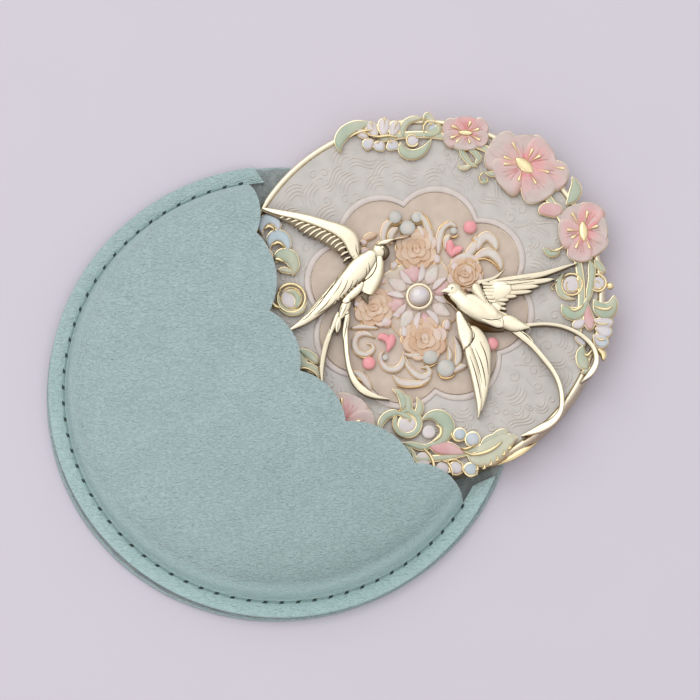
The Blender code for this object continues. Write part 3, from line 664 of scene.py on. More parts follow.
def build_front():
    profile = [(radius, roof(radius)) for radius in np.linspace(0, 36, 12)] + shoulder(OUT, RISE, 0, 1.50, 22)
    profile += [(44.62, 3.6), (44.72, 3.15), (44.86, 2.82), (45.02, 2.60), (45.20, 2.44), (45.40, 2.38),
                (45.62, 2.44), (45.85, 2.52), (46.3, 2.55), (47.6, 2.52), (48.25, 2.46), (48.50, 2.36),
                (48.60, 2.18), (48.58, 1.80), (48.45, 1.66), (45, 1.65), (44.2, 1.70), (43.9, 1.9)]
    profile = np.array(profile + shoulder(4.95, 3.95, 1.57, 0, 12) + [(0, 8.82)])
    # The shade here weights painted fill light on the shoulder's foot and the flange; the tilt, the place
    # along the way off the light, drives painted shade toward the far side
    stretch = np.interp(profile[:, 0], (42.4, 43.8, 44.4, 44.9), (0, 0.7, 0.8, 0.7))
    front = Shells()
    front.lathe(profile, 240, ORIGIN, stretch[:, None], profile[:, :1] / 44)
    panel = front.build("front_leather", "teal_leather", "sleeve_front_panel", body="sleeve")
    cut_by_mouth(panel, "teal_leather_edge")

    lining = Shells()
    foot = [(43.75, 1.9), (44.1, 1.64), (LINING, 1.62), (LINING, 1.32), (43.9, 1.32), (43.55, 1.7)]
    lining.lathe([(0, 8.76)] + shoulder(4.88, 3.88, 0, 1.57, 14) + foot + shoulder(4.6, 3.6, 1.57, 0, 14)
                 + [(0, 8.47)], 200, ORIGIN)
    inner = lining.build("front_suede", "grey_suede", "sleeve_front_lining", body="sleeve")
    cut_by_mouth(inner, "grey_suede")

    # A pale wire along the mouth's top edge, in the cut edge's paler leather, with a painted highlight along
    # it
    rolled = Shells()
    line = np.array([(point.x - 0.10, point.y) for point in mouth_line(20)])
    rolled.wire(line, [roof(math.hypot(*point)) - 0.12 for point in line], 0.13, len(line) * 2)
    rolled.build("mouth_edge", "teal_leather_edge", body="sleeve")


def build_back():
    """Two turned layers whose rims stand out a little at the sleeve's closed end and at its lower right."""
    turns = around(240)
    closed_end = np.clip(-np.cos(turns - 0.25), 0, 1) ** 3
    waves = np.sin(turns * 37) * np.sin(turns * 11)
    lower_right = 0.6 * np.clip(np.cos(turns + 0.95), 0, 1) ** 8
    flat_radius, rim_width = 44, 4.6
    for name, look, node, peek, ripple, profile in (
            ("back_leather", "teal_leather", "sleeve_back_panel", 0.9, 0.03,
             [(0, 0.90), (30, 0.90), (44, 0.90), (48.2, 0.90), (48.5, 0.82), (48.6, 0.65), (48.6, 0.2),
              (48.4, 0.03), (48.1, 0), (45.8, 0), (45.6, 0.3), (45.4, 0.38), (45.2, 0.3), (45, 0), (30, 0),
              (0, 0)]),
            ("back_suede", "grey_suede", "sleeve_back_lining", 1, 0.10,
             [(0, 1.25), (30, 1.25), (44, 1.25), (47.8, 1.25), (48.1, 1.15), (48.15, 0.96), (44, 0.95),
              (0, 0.95)])):
        out = peek * closed_end + ripple * waves + lower_right
        loops = []
        for radius, height in profile:
            reach = (max(radius, AXIS) + max(0, (radius - flat_radius) / rim_width) * out) * MM
            loops.append(at_height(reach[:, None] * circle(turns), height))
        layer = Shells()
        layer.add(loops, 0)
        layer.build(name, look, node, body="sleeve")


def build_stitches():
    """A row of stitches on the front and one on the back, with the slanted holes they go down into, drawn as
    dark slots of painted shadow.
    """
    limit = math.acos(FIRST_X / SEAM)
    count = int((math.tau - 2 * limit) * SEAM / PITCH)
    holes = [limit + (math.tau - 2 * limit) * step / count for step in range(count + 1)]
    for name, node, level, hide, side, sunk, edge in (
            ("needle_stitches", "needle_thread", 2.46, 2.06, 1, 0.35, 0.36),
            ("bobbin_stitches", "bobbin_thread", 0.19, 0.42, -1, 0, -0.16)):
        stitches, hole_shadows = Shells(), Shells()
        heights = (hide, level - 0.03 * side, level, level + 0.02 * side, level, level - 0.03 * side, hide)
        for a, b in zip(holes, holes[1:]):
            turns = [a + (b - a) * share for share in (0.02, 0.14, 0.3, 0.5, 0.7, 0.86, 0.98)]
            stitches.wire([from_polar(ORIGIN, SEAM, turn) for turn in turns], heights,
                          (0.12, 0.17, 0.18, 0.18, 0.18, 0.17, 0.12), 14)
        for turn in holes:
            slant = turn + math.pi / 2 + 0.55
            centre = np.array(from_polar(ORIGIN, SEAM, turn))
            ahead = np.array((math.cos(slant), math.sin(slant))) * 0.72
            knots = [(*(centre + share * ahead), half) for share, half in (
                (-1, 0.10), (-0.3, 0.36), (0.3, 0.38), (1, 0.10))]
            # Dark thread-coloured slots in the holes: painted shadow
            hole_shadows.stroke(knots, level - sunk, 0.02, edge, samples=8, cross=5, warp=in_mm)
        stitches.build(name, "teal_thread", node, body="sleeve")
        hole_shadows.build(name + "_hole_shadows", "teal_thread_shadow", body="sleeve")


# Mirror

# The medallion: how its first cusp is turned in the frame, and the radii of its cusps and of its lobes'
# tops, in millimetres
FIRST_CUSP = CUSP_TURN + TURN
CUSP, PEAK = 0.522 * 39.1, 0.610 * 39.1
LOBES = 8


def lobed(cusp, peak, steps=14):
    """The medallion's outline, in metres, from the radii of its cusps and of its lobes' tops."""
    turns = [FIRST_CUSP + math.tau / LOBES * index for index in range(LOBES + 1)]
    cusps = [Vector((cusp * math.cos(turn), cusp * math.sin(turn))) for turn in turns]
    rise = peak - cusp * math.cos(math.pi / LOBES)
    line = [tuple(p) for pair in zip(cusps, cusps[1:]) for p in arc_between(*pair, rise, steps)]
    return CENTRE + np.array(line) * MM


def lobed_loops(levels):
    """Loops of the lobed outline, each with an offset from the ridge's middle and a height."""
    return np.array([at_height(lobed(CUSP + offset, PEAK + offset), height) for offset, height in levels])


def build_tray():
    tray = Shells()
    bead = [(38 + 0.6 * math.cos(turn), 5.1 + 0.6 * math.sin(turn)) for turn in np.linspace(math.pi, 0, 15)]
    side = [(38.66, 4.7), (38.78, 4.2), (38.95, 3.2), (39.08, 2.4), (39.1, 2), (39.02, 1.72), (38.85, 1.56),
            (38.6, 1.5), (37.45, 1.5), (37.32, 1.6), (37.3, 3.9)]
    # The tilt paints highlight and shade on the bead and side wall by the side they face from the light
    tilt = np.array([0] * 11 + [0.35] * 6 + [0.75] * 8 + [0] * 4)[:, None]
    tray.lathe([(0, 4.88), (37, 4.88)] + bead + side + [(0, 3.9)], 256, tilt=tilt)
    tray.build("tray", "plated_gold", "case_casting")

    field = Shells()
    inner = lobed(CUSP + 0.72, PEAK + 0.72)
    outer = CENTRE + 37.25 * MM * circle(around(len(inner)) + TURN + CUSP_TURN)
    levels = ((0, WEB), (0, 5.24), (0.01, 5.28), (0.25, 5.28), (0.5, 5.27), (0.75, 5.27), (0.985, 5.28),
              (1, 5.33), (1, WEB))
    field.ring([at_height(inner + (outer - inner) * share, height) for share, height in levels])
    engrave(field)
    field.build("field", "grey_enamel", "field_enamel")

    ridge, lip, floor = Shells(), Shells(), Shells()
    half = 0.7
    levels = [(half * math.cos(turn), ENAMEL + 0.38 * math.sin(turn)) for turn in np.linspace(0, math.pi, 9)]
    ridge.ring(lobed_loops([(half, WEB), *levels, (-half, WEB)]))
    ridge.build("medallion_edge", "blush_enamel", "medallion_ridge")
    levels = [(-half + 0.13 + 0.11 * math.cos(turn), 5.36 + 0.11 * math.sin(turn)) for turn in around(8)]
    lip.ring(lobed_loops(levels))
    lip.build("medallion_lip", "plated_gold_shaded")
    levels = [(-0.85, WEB), (-0.85, 5.26), (-1.6, 5.29), (-6, ENAMEL), (-12, ENAMEL), (-19, ENAMEL)]
    floor.add(lobed_loops(levels), np.array([1, 1, 0.7, 0.2, 0, 0])[:, None])
    floor.build("medallion_floor_enamel", "beige_enamel", "medallion_floor")

    pane, foam = Shells(), Shells()
    pane.lathe([(0, 3.5), (36.9, 3.5), (37, 3.4), (37, 2.02), (36.93, 1.95), (36.72, 1.74), (36.6, 1.7),
                (0, 1.7)], 220)
    pane.build("glass", "silvered_glass", "mirror_glass")
    foam.lathe([(0, 3.85), (34.4, 3.85), (34.5, 3.8), (34.5, 3.6), (34.4, 3.55), (0, 3.55)], 120)
    foam.build("tape", "white_tape", "adhesive_tape")


def engrave(shells):
    """Low scrolls and combed waves that are cast into the field, well clear of the garlands."""
    half, crown, level = 0.0056 * RADIUS, 0.12, 5.27

    def line(points):
        """A low ridge through points of turn and share of the radius."""
        path, t = smooth(points, 4 + 2 * len(points), False)
        reach = (path[:, 1] * RADIUS)[:, None]
        ground = CENTRE + reach * circle(path[:, 0] + TURN)
        side = directions(ground)[1]
        taper = np.clip(np.minimum(t, 1 - t) * 6, 0.15, 1)[:, None]
        loops = np.empty((len(path), 5, 3))
        for index, (s, share) in enumerate(((-1, -0.04), (-0.5, 0.75), (0, 1), (0.5, 0.75), (1, -0.04))):
            loops[:, index, :2] = ground + side * (s * half) * taper
            loops[:, index, 2] = (level + share * crown * np.clip(taper[:, 0] * 1.2, 0, 1)) * MM
        # Each ridge's sides get the edge by the way they face from the light: painted highlight and shade
        shells.add(loops, 1, 0.75 * (side @ AWAY_HERE)[:, None] * np.array((-1, -0.8, 0, 0.8, 1)))

    def arcs(count, span, gap, rise):
        return [[(share * (span - 0.011 * abs(row - count / 2)),
                  gap * (row - count / 2 + 0.5) + rise * (1 - share * share))
                 for share in (-1, -0.5, 0, 0.5, 1)] for row in range(count)]

    def curl(size, steps=11, x=0, first=0):
        return [from_polar((x, 0), (0.036 - 0.003 * step) * size, first + step * 0.85)
                for step in range(steps)]

    for row, (reach, count) in enumerate(((0.662, 26), (0.732, 28), (0.803, 31), (0.872, 34))):
        for index in range(count):
            spot = math.tau * (index + 0.37 * row) / count + random.uniform(-0.02, 0.02)
            size = random.uniform(0.85, 1.15)
            kind = random.choice((0, 1, 1, 1, 2, 2, 3, 4))
            lean = random.uniform(-0.6, 0.6)
            if kind == 0:
                paths = [curl(size, first=random.uniform(0, 6)),
                         [(0.045 + 0.02 * t, -0.03 + 0.012 * t * t) for t in range(4)]]
            elif kind == 1:
                paths = arcs(4, 0.066 * size, 0.0205, 0.028)
            elif kind == 2:
                paths = [[(t * 0.078, 0.020 * lane + 0.024 * math.sin(t * 2.6))
                          for t in (-1, -0.6, -0.2, 0.2, 0.6, 1)] for lane in (-1, 0, 1)]
            elif kind == 3:
                paths = arcs(3, 0.050 * size, 0.018, 0.034) + [curl(0.55, 8, -0.062), curl(0.55, 8, 0.062)]
            else:
                paths = [curl(0.75 * size, 9, -0.030), [(0.030 - x, y) for x, y in curl(0.75 * size, 9)],
                         [(-0.02, -0.035), (0, -0.026), (0.02, -0.035)]]
            flip = random.choice((-1, 1))
            ca, sa = math.cos(lean), math.sin(lean)
            for path in paths:
                line([(spot + flip * (ca * u - sa * v) / reach, reach + sa * u + ca * v) for u, v in path])


class Relief:
    """Enamel pieces and the gold casting under and round them."""

    def __init__(self, level=ONLAY, fill=FILL):
        self.gold = Shells()
        self.level = level
        self.fill = fill

    def inlay(self, shells, knots, shade=0.5, crown=0.42, lift=0, margin=0.7, tip=(0.3, 0.3), **more):
        """An enamel stroke with a gold border that stands a hair below its crown."""
        base = self.fill + lift
        self.gold.stroke(knots, self.level, 0.12, base + 0.02 - self.level, section="soft", margin=margin,
                         tip=tip)
        shells.stroke(knots, base, crown, 0.07, shade, tip=tip, **more)

    def drop(self, x, y, toward, size=1.35, z=STAMEN):
        """A gold stamen: a bead at its tip and a tail that runs toward a point."""
        dx, dy = toward[0] - x, toward[1] - y
        length = max(math.hypot(dx, dy), 1e-6)
        dx, dy = dx / length, dy / length
        reach = min(length * 0.75, 9 * size)
        self.gold.stroke([(x - dx * 1.4, y - dy * 1.4, 1.25 * size), (x, y, 1.35 * size),
                          (x + dx * reach * 0.45, y + dy * reach * 0.45, 0.55 * size),
                          (x + dx * reach, y + dy * reach, 0.2)], z - 0.35, 0.34, 0.24, tip=(0.25, 0))

    def spiral(self, centre, start, end, first, sweep, half, z=None, crown=0.3, steps=12):
        """A gold scroll from one radius to another, with a half width at each end; it stands on the ground
        unless a height is given."""
        knots = []
        for share in (step / (steps - 1) for step in range(steps)):
            spot = from_polar(centre, start + (end - start) * share, first + sweep * share)
            knots.append((*spot, half[0] + (half[1] - half[0]) * share))
        z, edge = (self.level, 0.4) if z is None else (z, 0.1)
        self.gold.stroke(knots, z, crown, edge, samples=steps * 3, cross=7, tip=(0.08, 0.12))

    def blossom(self, shells, centre, major, minor, tilt, petals, lens, stamens, lift=0, width=0.42):
        """A blossom seen a little from the side: petals of angle, reach, shade and level, with a lens of
        length, breadth and lean, and stamens."""
        ca, sa = math.cos(tilt), math.sin(tilt)

        def spot(turn, share):
            u, v = math.cos(turn) * share, math.sin(turn) * share
            return centre[0] + ca * u * major - sa * v * minor, centre[1] + sa * u * major + ca * v * minor

        for angle, reach, tones, level in petals:
            turn = math.radians(angle)
            wide = width * math.hypot(major * math.sin(turn), minor * math.cos(turn))
            knots = [(*spot(turn, reach * share), wide * breadth) for share, breadth in (
                (0.08, 0.30), (0.32, 0.74), (0.60, 1.06), (0.84, 1.04), (1, 0.78))]
            rise = lift + 1.8 * level
            self.inlay(shells, knots, tones, 0.55, rise, 0.4, (0.10, 0.30), section="cup", rim=0.06,
                       samples=28, cross=15)
            darker = np.clip(np.array(tones) - 0.2, 0, 1)
            for swing in (-0.30, 0, 0.30):
                vein = [(*spot(turn + swing * share, reach * share), 0.55 * (1 - share))
                        for share in (0.26, 0.48, 0.70)]
                shells.stroke(vein, FILL + rise + 0.1, 0.06, 0.30, darker, cross=5)
        length, breadth, lean = lens
        self.gold.stroke([(*from_polar(centre, length * share, lean), half) for share, half in (
            (-1, 0.3), (-0.5, breadth * 0.85), (0, breadth), (0.5, breadth * 0.85), (1, 0.3))],
            FILL + 0.25 + lift, 0.38, 0.30, samples=24, cross=11)
        for x, y in stamens:
            self.drop(x, y, centre, z=STAMEN + lift)


class Garland(Relief):
    """A relief along the field's rim, on a vine between two turns, with what grows on it."""

    def __init__(self, turns, blossoms):
        super().__init__()
        self.leaves, self.buds, self.pinks = ([Shells() for _ in range(count)] for count in (6, 2, blossoms))
        self.lilac, self.stems = Shells(), Shells()
        vine = [(*from_polar(HUB, 160, math.radians(turn)), 3.6) for turn in turns]
        self.gold.stroke(vine, ONLAY, 0.05, 0.30, section="flat", samples=60)
        self.stems.stroke([(x, y, 2.4) for x, y, _ in vine], FILL - 0.06, 0.14, 0.05, 0.6, "soft", 60)

    def tools(self):
        return self.inlay, self.gold.stroke, self.spiral, self.leaves, self.buds, self.lilac

    def build(self, side, bead=None):
        stamens = [f"{side}_stamen_{n}" for n in range(1, len(self.pinks) + 1)]
        self.gold.build(f"{side}_garland_gold", "plated_gold_warm", f"{side}_garland_casting", *stamens)
        self.stems.build(f"{side}_garland_stem", "green_enamel")
        if bead:
            bead.build(f"{side}_garland_bead", "green_enamel")
        self.lilac.build(f"{side}_garland_petals", "lilac_enamel")
        for group, name, look, node in ((self.pinks, "petals", "petal_enamel", "blossom"),
                                        (self.leaves, "leaves", "green_enamel", "leaf"),
                                        (self.buds, "drop", "bud_enamel", "bud")):
            for index, shells in enumerate(group, 1):
                shells.build(f"{side}_{name}_{index}", look, f"{side}_{node}_{index}")


def uneven(reach, wave, beyond=0):
    """The rim of a carved blossom, as disc() takes it."""
    return lambda turn: beyond + reach * (
        1 + 0.07 * math.sin(7 * turn + wave) + 0.06 * math.sin(4 * turn - wave))


def spokes(turn, *knots):
    """Knots round the hub, each a radius, a turn from the spoke's own and a half width."""
    return [(*from_polar(HUB, out, turn + swing), half) for out, swing, half in knots]


def build_upper_garland():
    garland = Garland(range(-104, 22, 9), 3)
    inlay, gold, spiral, leaves, buds, lilac = garland.tools()
    inlay(leaves[0], [(343, 156, 1.2), (341.5, 146, 4.6), (347, 136.5, 6.2), (357, 130.5, 5.6),
        (367, 128, 3.2), (374, 127, 1.2)], (0.1, 0.2, 0.5, 0.8), 0.4)
    gold([(351, 142, 0.5), (358, 137.5, 1.1), (366, 135, 1.2), (374, 134.5, 0.5)], FILL + 0.3, 0.3, 0.2)
    for knots, tone in (
            ([(378, 141, 2.2), (374, 133, 5), (371.5, 125.5, 4.4)], (0, 0.1)),
            ([(385, 140, 2.2), (385.5, 131, 5.4), (386, 122, 4.8)], (0.1, 0)),
            ([(393, 140, 2.2), (396, 132, 5.2), (399, 125, 4.2)], (0, 0.15)),
            ([(370, 141, 2), (364, 137, 4), (360, 134, 2.6)], (0.2, 0)),
            ([(375, 143, 2.2), (370, 147.5, 5.2), (365.5, 150, 4.2)], (0, 0.7)),
            ([(383.5, 144, 2.2), (381, 149.5, 5.6), (379, 153.5, 4.6)], (0, 0.9)),
            ([(392, 143, 2.2), (394, 149, 5.6), (394.5, 153.5, 4.6)], (0, 0.8))):
        inlay(lilac, knots, tone, 0.42, 0.02)
    for x, y, goal in (
            (373, 127, (378, 140)), (386, 123, (386, 140)), (398.5, 127, (393, 140)),
            (379.5, 146, (384, 140)), (392.5, 146, (388, 140)), (367, 137, (376, 141))):
        garland.drop(x, y, goal, 0.8)
    gold([(370, 139, 0.6), (380, 140.5, 1.2), (390, 139.5, 1.2), (399, 141, 0.6)], FILL + 0.2, 0.3, 0.2)

    inlay(leaves[1], [(402, 146, 1.6), (403.5, 153, 4), (411, 158, 4.8), (420, 156.5, 4.2), (427, 151, 2.8),
        (432, 143, 1.4)], (0.6, 0.3, 0.2, 0.5), 0.42)
    inlay(leaves[1], [(405, 141, 1.2), (404, 133, 2.8), (408, 126, 3), (416, 122.5, 2.6), (424, 122, 1.2)],
        (0.4, 0.9), 0.36, 0.02)
    lilac.disc((413.5, 143.5), 6.2, ONLAY, 0.25, 0.25, (0.1, 0.3))
    lilac.disc((433, 132), 7, ONLAY, 0.25, 0.25, (0.7, 0.9))
    spiral((413.5, 143.5), 6.6, 5, 0.4, 5.6, (1.2, 0.9))
    spiral((433, 132), 9, 3.6, 2.6, 8.6, (1.1, 0.7), FILL, 0.3)
    inlay(leaves[1], [(425, 140, 1), (431, 137.5, 3.4), (438, 134, 4.2), (440, 128, 2)], (0.2, 0.5), 0.3)
    inlay(leaves[1], [(424, 125, 0.8), (428, 118.5, 2.2), (432, 124, 2.6), (436, 127, 1)], (0.5, 0.9), 0.3)

    garland.blossom(garland.pinks[0], (466, 137), 26, 17, 0,
        ((-150, 0.98, (0.1, 0.3, 0.55, 0.7), 0), (-90, 0.98, (0.05, 0.2, 0.3, 0.5), 0.02),
        (-32, 0.98, (0.1, 0.25, 0.5, 0.7), 0), (28, 0.95, (0.2, 0.4, 0.7, 0.8), 0.05),
        (150, 0.95, (0.2, 0.45, 0.7, 0.8), 0.05), (90, 1, (0.3, 0.6, 0.9, 1), 0.12)), (7.5, 2.8, 0.05),
        ((454, 130.5), (470.5, 127), (478, 133.5), (479.5, 143.5), (452.5, 141.5), (457.5, 145.5),
        (470, 146)))
    inlay(leaves[2], [(460, 150, 0.9), (464, 158, 2.4), (470, 166, 1.8), (478, 170, 0.8)], (0.2, 0.7), 0.3)
    inlay(leaves[2], [(468, 152, 0.8), (475, 156, 2.2), (479, 162, 2.2), (475, 168, 1)], (0.3, 0.6), 0.3,
        0.02)
    inlay(leaves[2], [(459, 169, 0.8), (465, 171, 2), (472, 168, 0.8)], (0.9, 1), 0.25)
    spiral((485, 182), 6.5, 2, -1.6, -5.6, (1, 0.8), FILL - 0.1, 0.3)
    bead = Shells()
    bead.disc((484.5, 184.5), 2.6, FILL - 0.1, 0.45, 0.1, (0.2, 0.5))
    inlay(leaves[2], [(486, 176, 1), (492, 177, 2.4), (499, 178, 1.6), (506, 183, 0.7)], (0.4, 0.8), 0.3)

    garland.blossom(garland.pinks[1], (524, 169), 46, 29, math.radians(28),
        ((-158, 0.92, (0.25, 0.55, 0.75, 0.85), 0), (-112, 0.95, (0.1, 0.4, 0.7, 0.85), 0.03),
        (165, 0.90, (0.3, 0.6, 0.8, 0.9), 0.02), (-68, 0.98, (0, 0.2, 0.5, 0.7), 0.06),
        (-16, 1, (0.05, 0.35, 0.6, 0.75), 0.12), (112, 0.96, (0.15, 0.4, 0.7, 0.85), 0.06),
        (42, 1, (0, 0.3, 0.75, 1), 0.16)), (12, 5.6, math.radians(40)),
        ((513, 148), (505, 161), (505, 167.5), (518.5, 183), (535, 186), (547, 175.5), (531.5, 154),
        (538.5, 160), (562, 172)), 0.02, 0.44)
    inlay(leaves[3], [(565, 207, 1.4), (571, 201, 4.6), (574.5, 193, 5.6), (573.5, 185, 3), (571, 180, 1)],
        (0.2, 0.3, 0.8), 0.36)
    inlay(buds[0], [(538, 214, 4.2), (546, 212, 6.4), (555, 213, 6.6), (561, 215, 4)], (0.3, 0.5, 0.9), 0.34)

    garland.blossom(garland.pinks[2], (582, 234), 25, 31, 0,
        ((-128, 0.98, (0.35, 0.6, 0.8, 0.9), 0), (175, 0.98, (0.2, 0.45, 0.6, 0.75), 0.08),
        (-62, 1, (0, 0.1, 0.35, 0.6), 0.05), (-4, 0.95, (0.1, 0.5, 0.8, 0.9), 0.02),
        (45, 0.95, (0.1, 0.4, 0.7, 0.8), 0.04), (100, 0.98, (0.1, 0.3, 0.6, 0.8), 0.12)),
        (10.5, 4.4, math.radians(86)), ((571.5, 217), (586, 215.5), (567.5, 232.5), (595, 229), (571.5, 240),
        (575, 249.5), (588, 250)), 0, 0.46)
    inlay(leaves[3], [(543, 250, 0.8), (548, 254.5, 2.8), (554, 255, 3), (559, 250, 1.2)], (0.1, 0.3), 0.3)
    gold([(549, 252.5, 0.4), (556, 252.5, 1.1), (562, 249, 0.9)], FILL + 0.2, 0.25, 0.2)

    inlay(leaves[4], [(588, 262, 1.2), (590.5, 270, 3.2), (590, 281, 2.6), (588, 294, 2.8), (587, 304, 0.9)],
        (0.3, 0.4, 0.7), 0.36)
    inlay(leaves[4], [(593, 262, 1.2), (598, 268, 2.8), (603, 274, 1.4)], (0.3, 0.8), 0.34)
    spiral((570.5, 286), 11.2, 9.6, -2.4, 6.4, (1.3, 1), FILL - 0.15, 0.32, 16)
    spiral((570.5, 286.5), 7.6, 5, -1, 5, (0.8, 0.6), FILL - 0.15, 0.26, 12)
    inlay(leaves[3], [(561, 275, 1), (558, 284, 2.6), (560, 294, 2.8), (567, 299, 1.6), (574, 300, 0.8)],
        (0.2, 0.6, 0.9), 0.26, -0.05)
    lilac.disc((570.5, 286), 8.6, ONLAY, 0.18, 0.25, (0.1, 0.2))
    spiral((596, 284.5), 8.8, 7.4, -2, 6.4, (1.2, 1), FILL - 0.15, 0.32, 14)
    spiral((596, 285.5), 5.2, 2.2, 0.5, 5.4, (0.8, 0.6), FILL - 0.15, 0.24)
    lilac.disc((596, 285), 6.8, ONLAY, 0.18, 0.25, (0.2, 0.4))
    garland.gold.disc((608.5, 287), 3.6, ONLAY, 0.55, 0.3)
    spiral((553.5, 289), 5.2, 1.6, 0.4, -5.4, (0.9, 0.8), FILL - 0.2, 0.3)

    inlay(leaves[4], [(561, 306, 1.2), (565, 311.5, 4.8), (572.5, 315, 6.2), (580, 312, 4.8),
        (584.5, 305, 2.6), (586, 298, 1)], (0.1, 0.1, 0.4, 0.7), 0.42)
    gold([(568, 308.5, 0.5), (573, 311.5, 1.4), (579, 309, 1.2), (582, 305.5, 0.4)], FILL + 0.32, 0.26, 0.2)
    inlay(leaves[5], [(592.5, 301, 2.2), (598, 309, 6.4), (605.5, 312, 8), (611, 305, 5), (612, 297, 1.8)],
        (0.1, 0.1, 0.4, 0.8), 0.44)
    gold([(593, 308, 0.5), (599, 310, 1.5), (606, 310.5, 1.4), (611, 308, 0.4)], FILL + 0.36, 0.26, 0.2)
    inlay(buds[1], [(587, 305, 0.7), (586.5, 314, 3.6), (588, 323, 5.2), (589, 331, 3.4)], (0.2, 0.4, 1), 0.4)
    for knots, tone in (
            ([(584, 321, 1.4), (578, 325, 4.6), (571.5, 327.5, 3.6)], (0, 0.2)),
            ([(592, 321, 1.8), (601, 324, 5.4), (611, 323, 4.6)], (0.1, 0.4)),
            ([(594, 329, 1.8), (603, 332, 5.6), (610, 334, 3.6)], (0, 0.6)),
            ([(592, 336, 1.8), (598.5, 341, 6.2), (605, 346.5, 4.4)], (0.2, 1)),
            ([(574, 337, 2.2), (580, 341, 3.4), (584, 346, 1.8)], (0, 0.3))):
        inlay(lilac, knots, tone, 0.4, 0)
    gold([(592, 323, 0.4), (600, 325.5, 1), (607, 325, 0.5)], FILL + 0.3, 0.25, 0.18)
    gold([(594, 338, 0.4), (599, 340.5, 1.3), (604, 340.5, 0.5)], FILL + 0.3, 0.25, 0.18)
    inlay(leaves[5], [(582, 346, 1.2), (580.5, 354, 5), (582, 363, 5.6), (586.5, 370, 2.6)], (0.3, 0.4, 0.9),
        0.4)
    gold([(582, 353.5, 0.4), (586, 356, 1.4), (590, 352, 1)], FILL + 0.3, 0.28, 0.2)
    inlay(leaves[5], [(580, 372.5, 0.9), (586, 371, 2.4), (593, 368, 0.8)], (0.8, 1), 0.28)
    gold([(596, 349, 2.6), (601.5, 354, 3.4), (601.5, 361, 1.8)], ONLAY - 0.35, 0.5, 0.45, tip=(0.3, 0.3))

    garland.build("upper", bead)


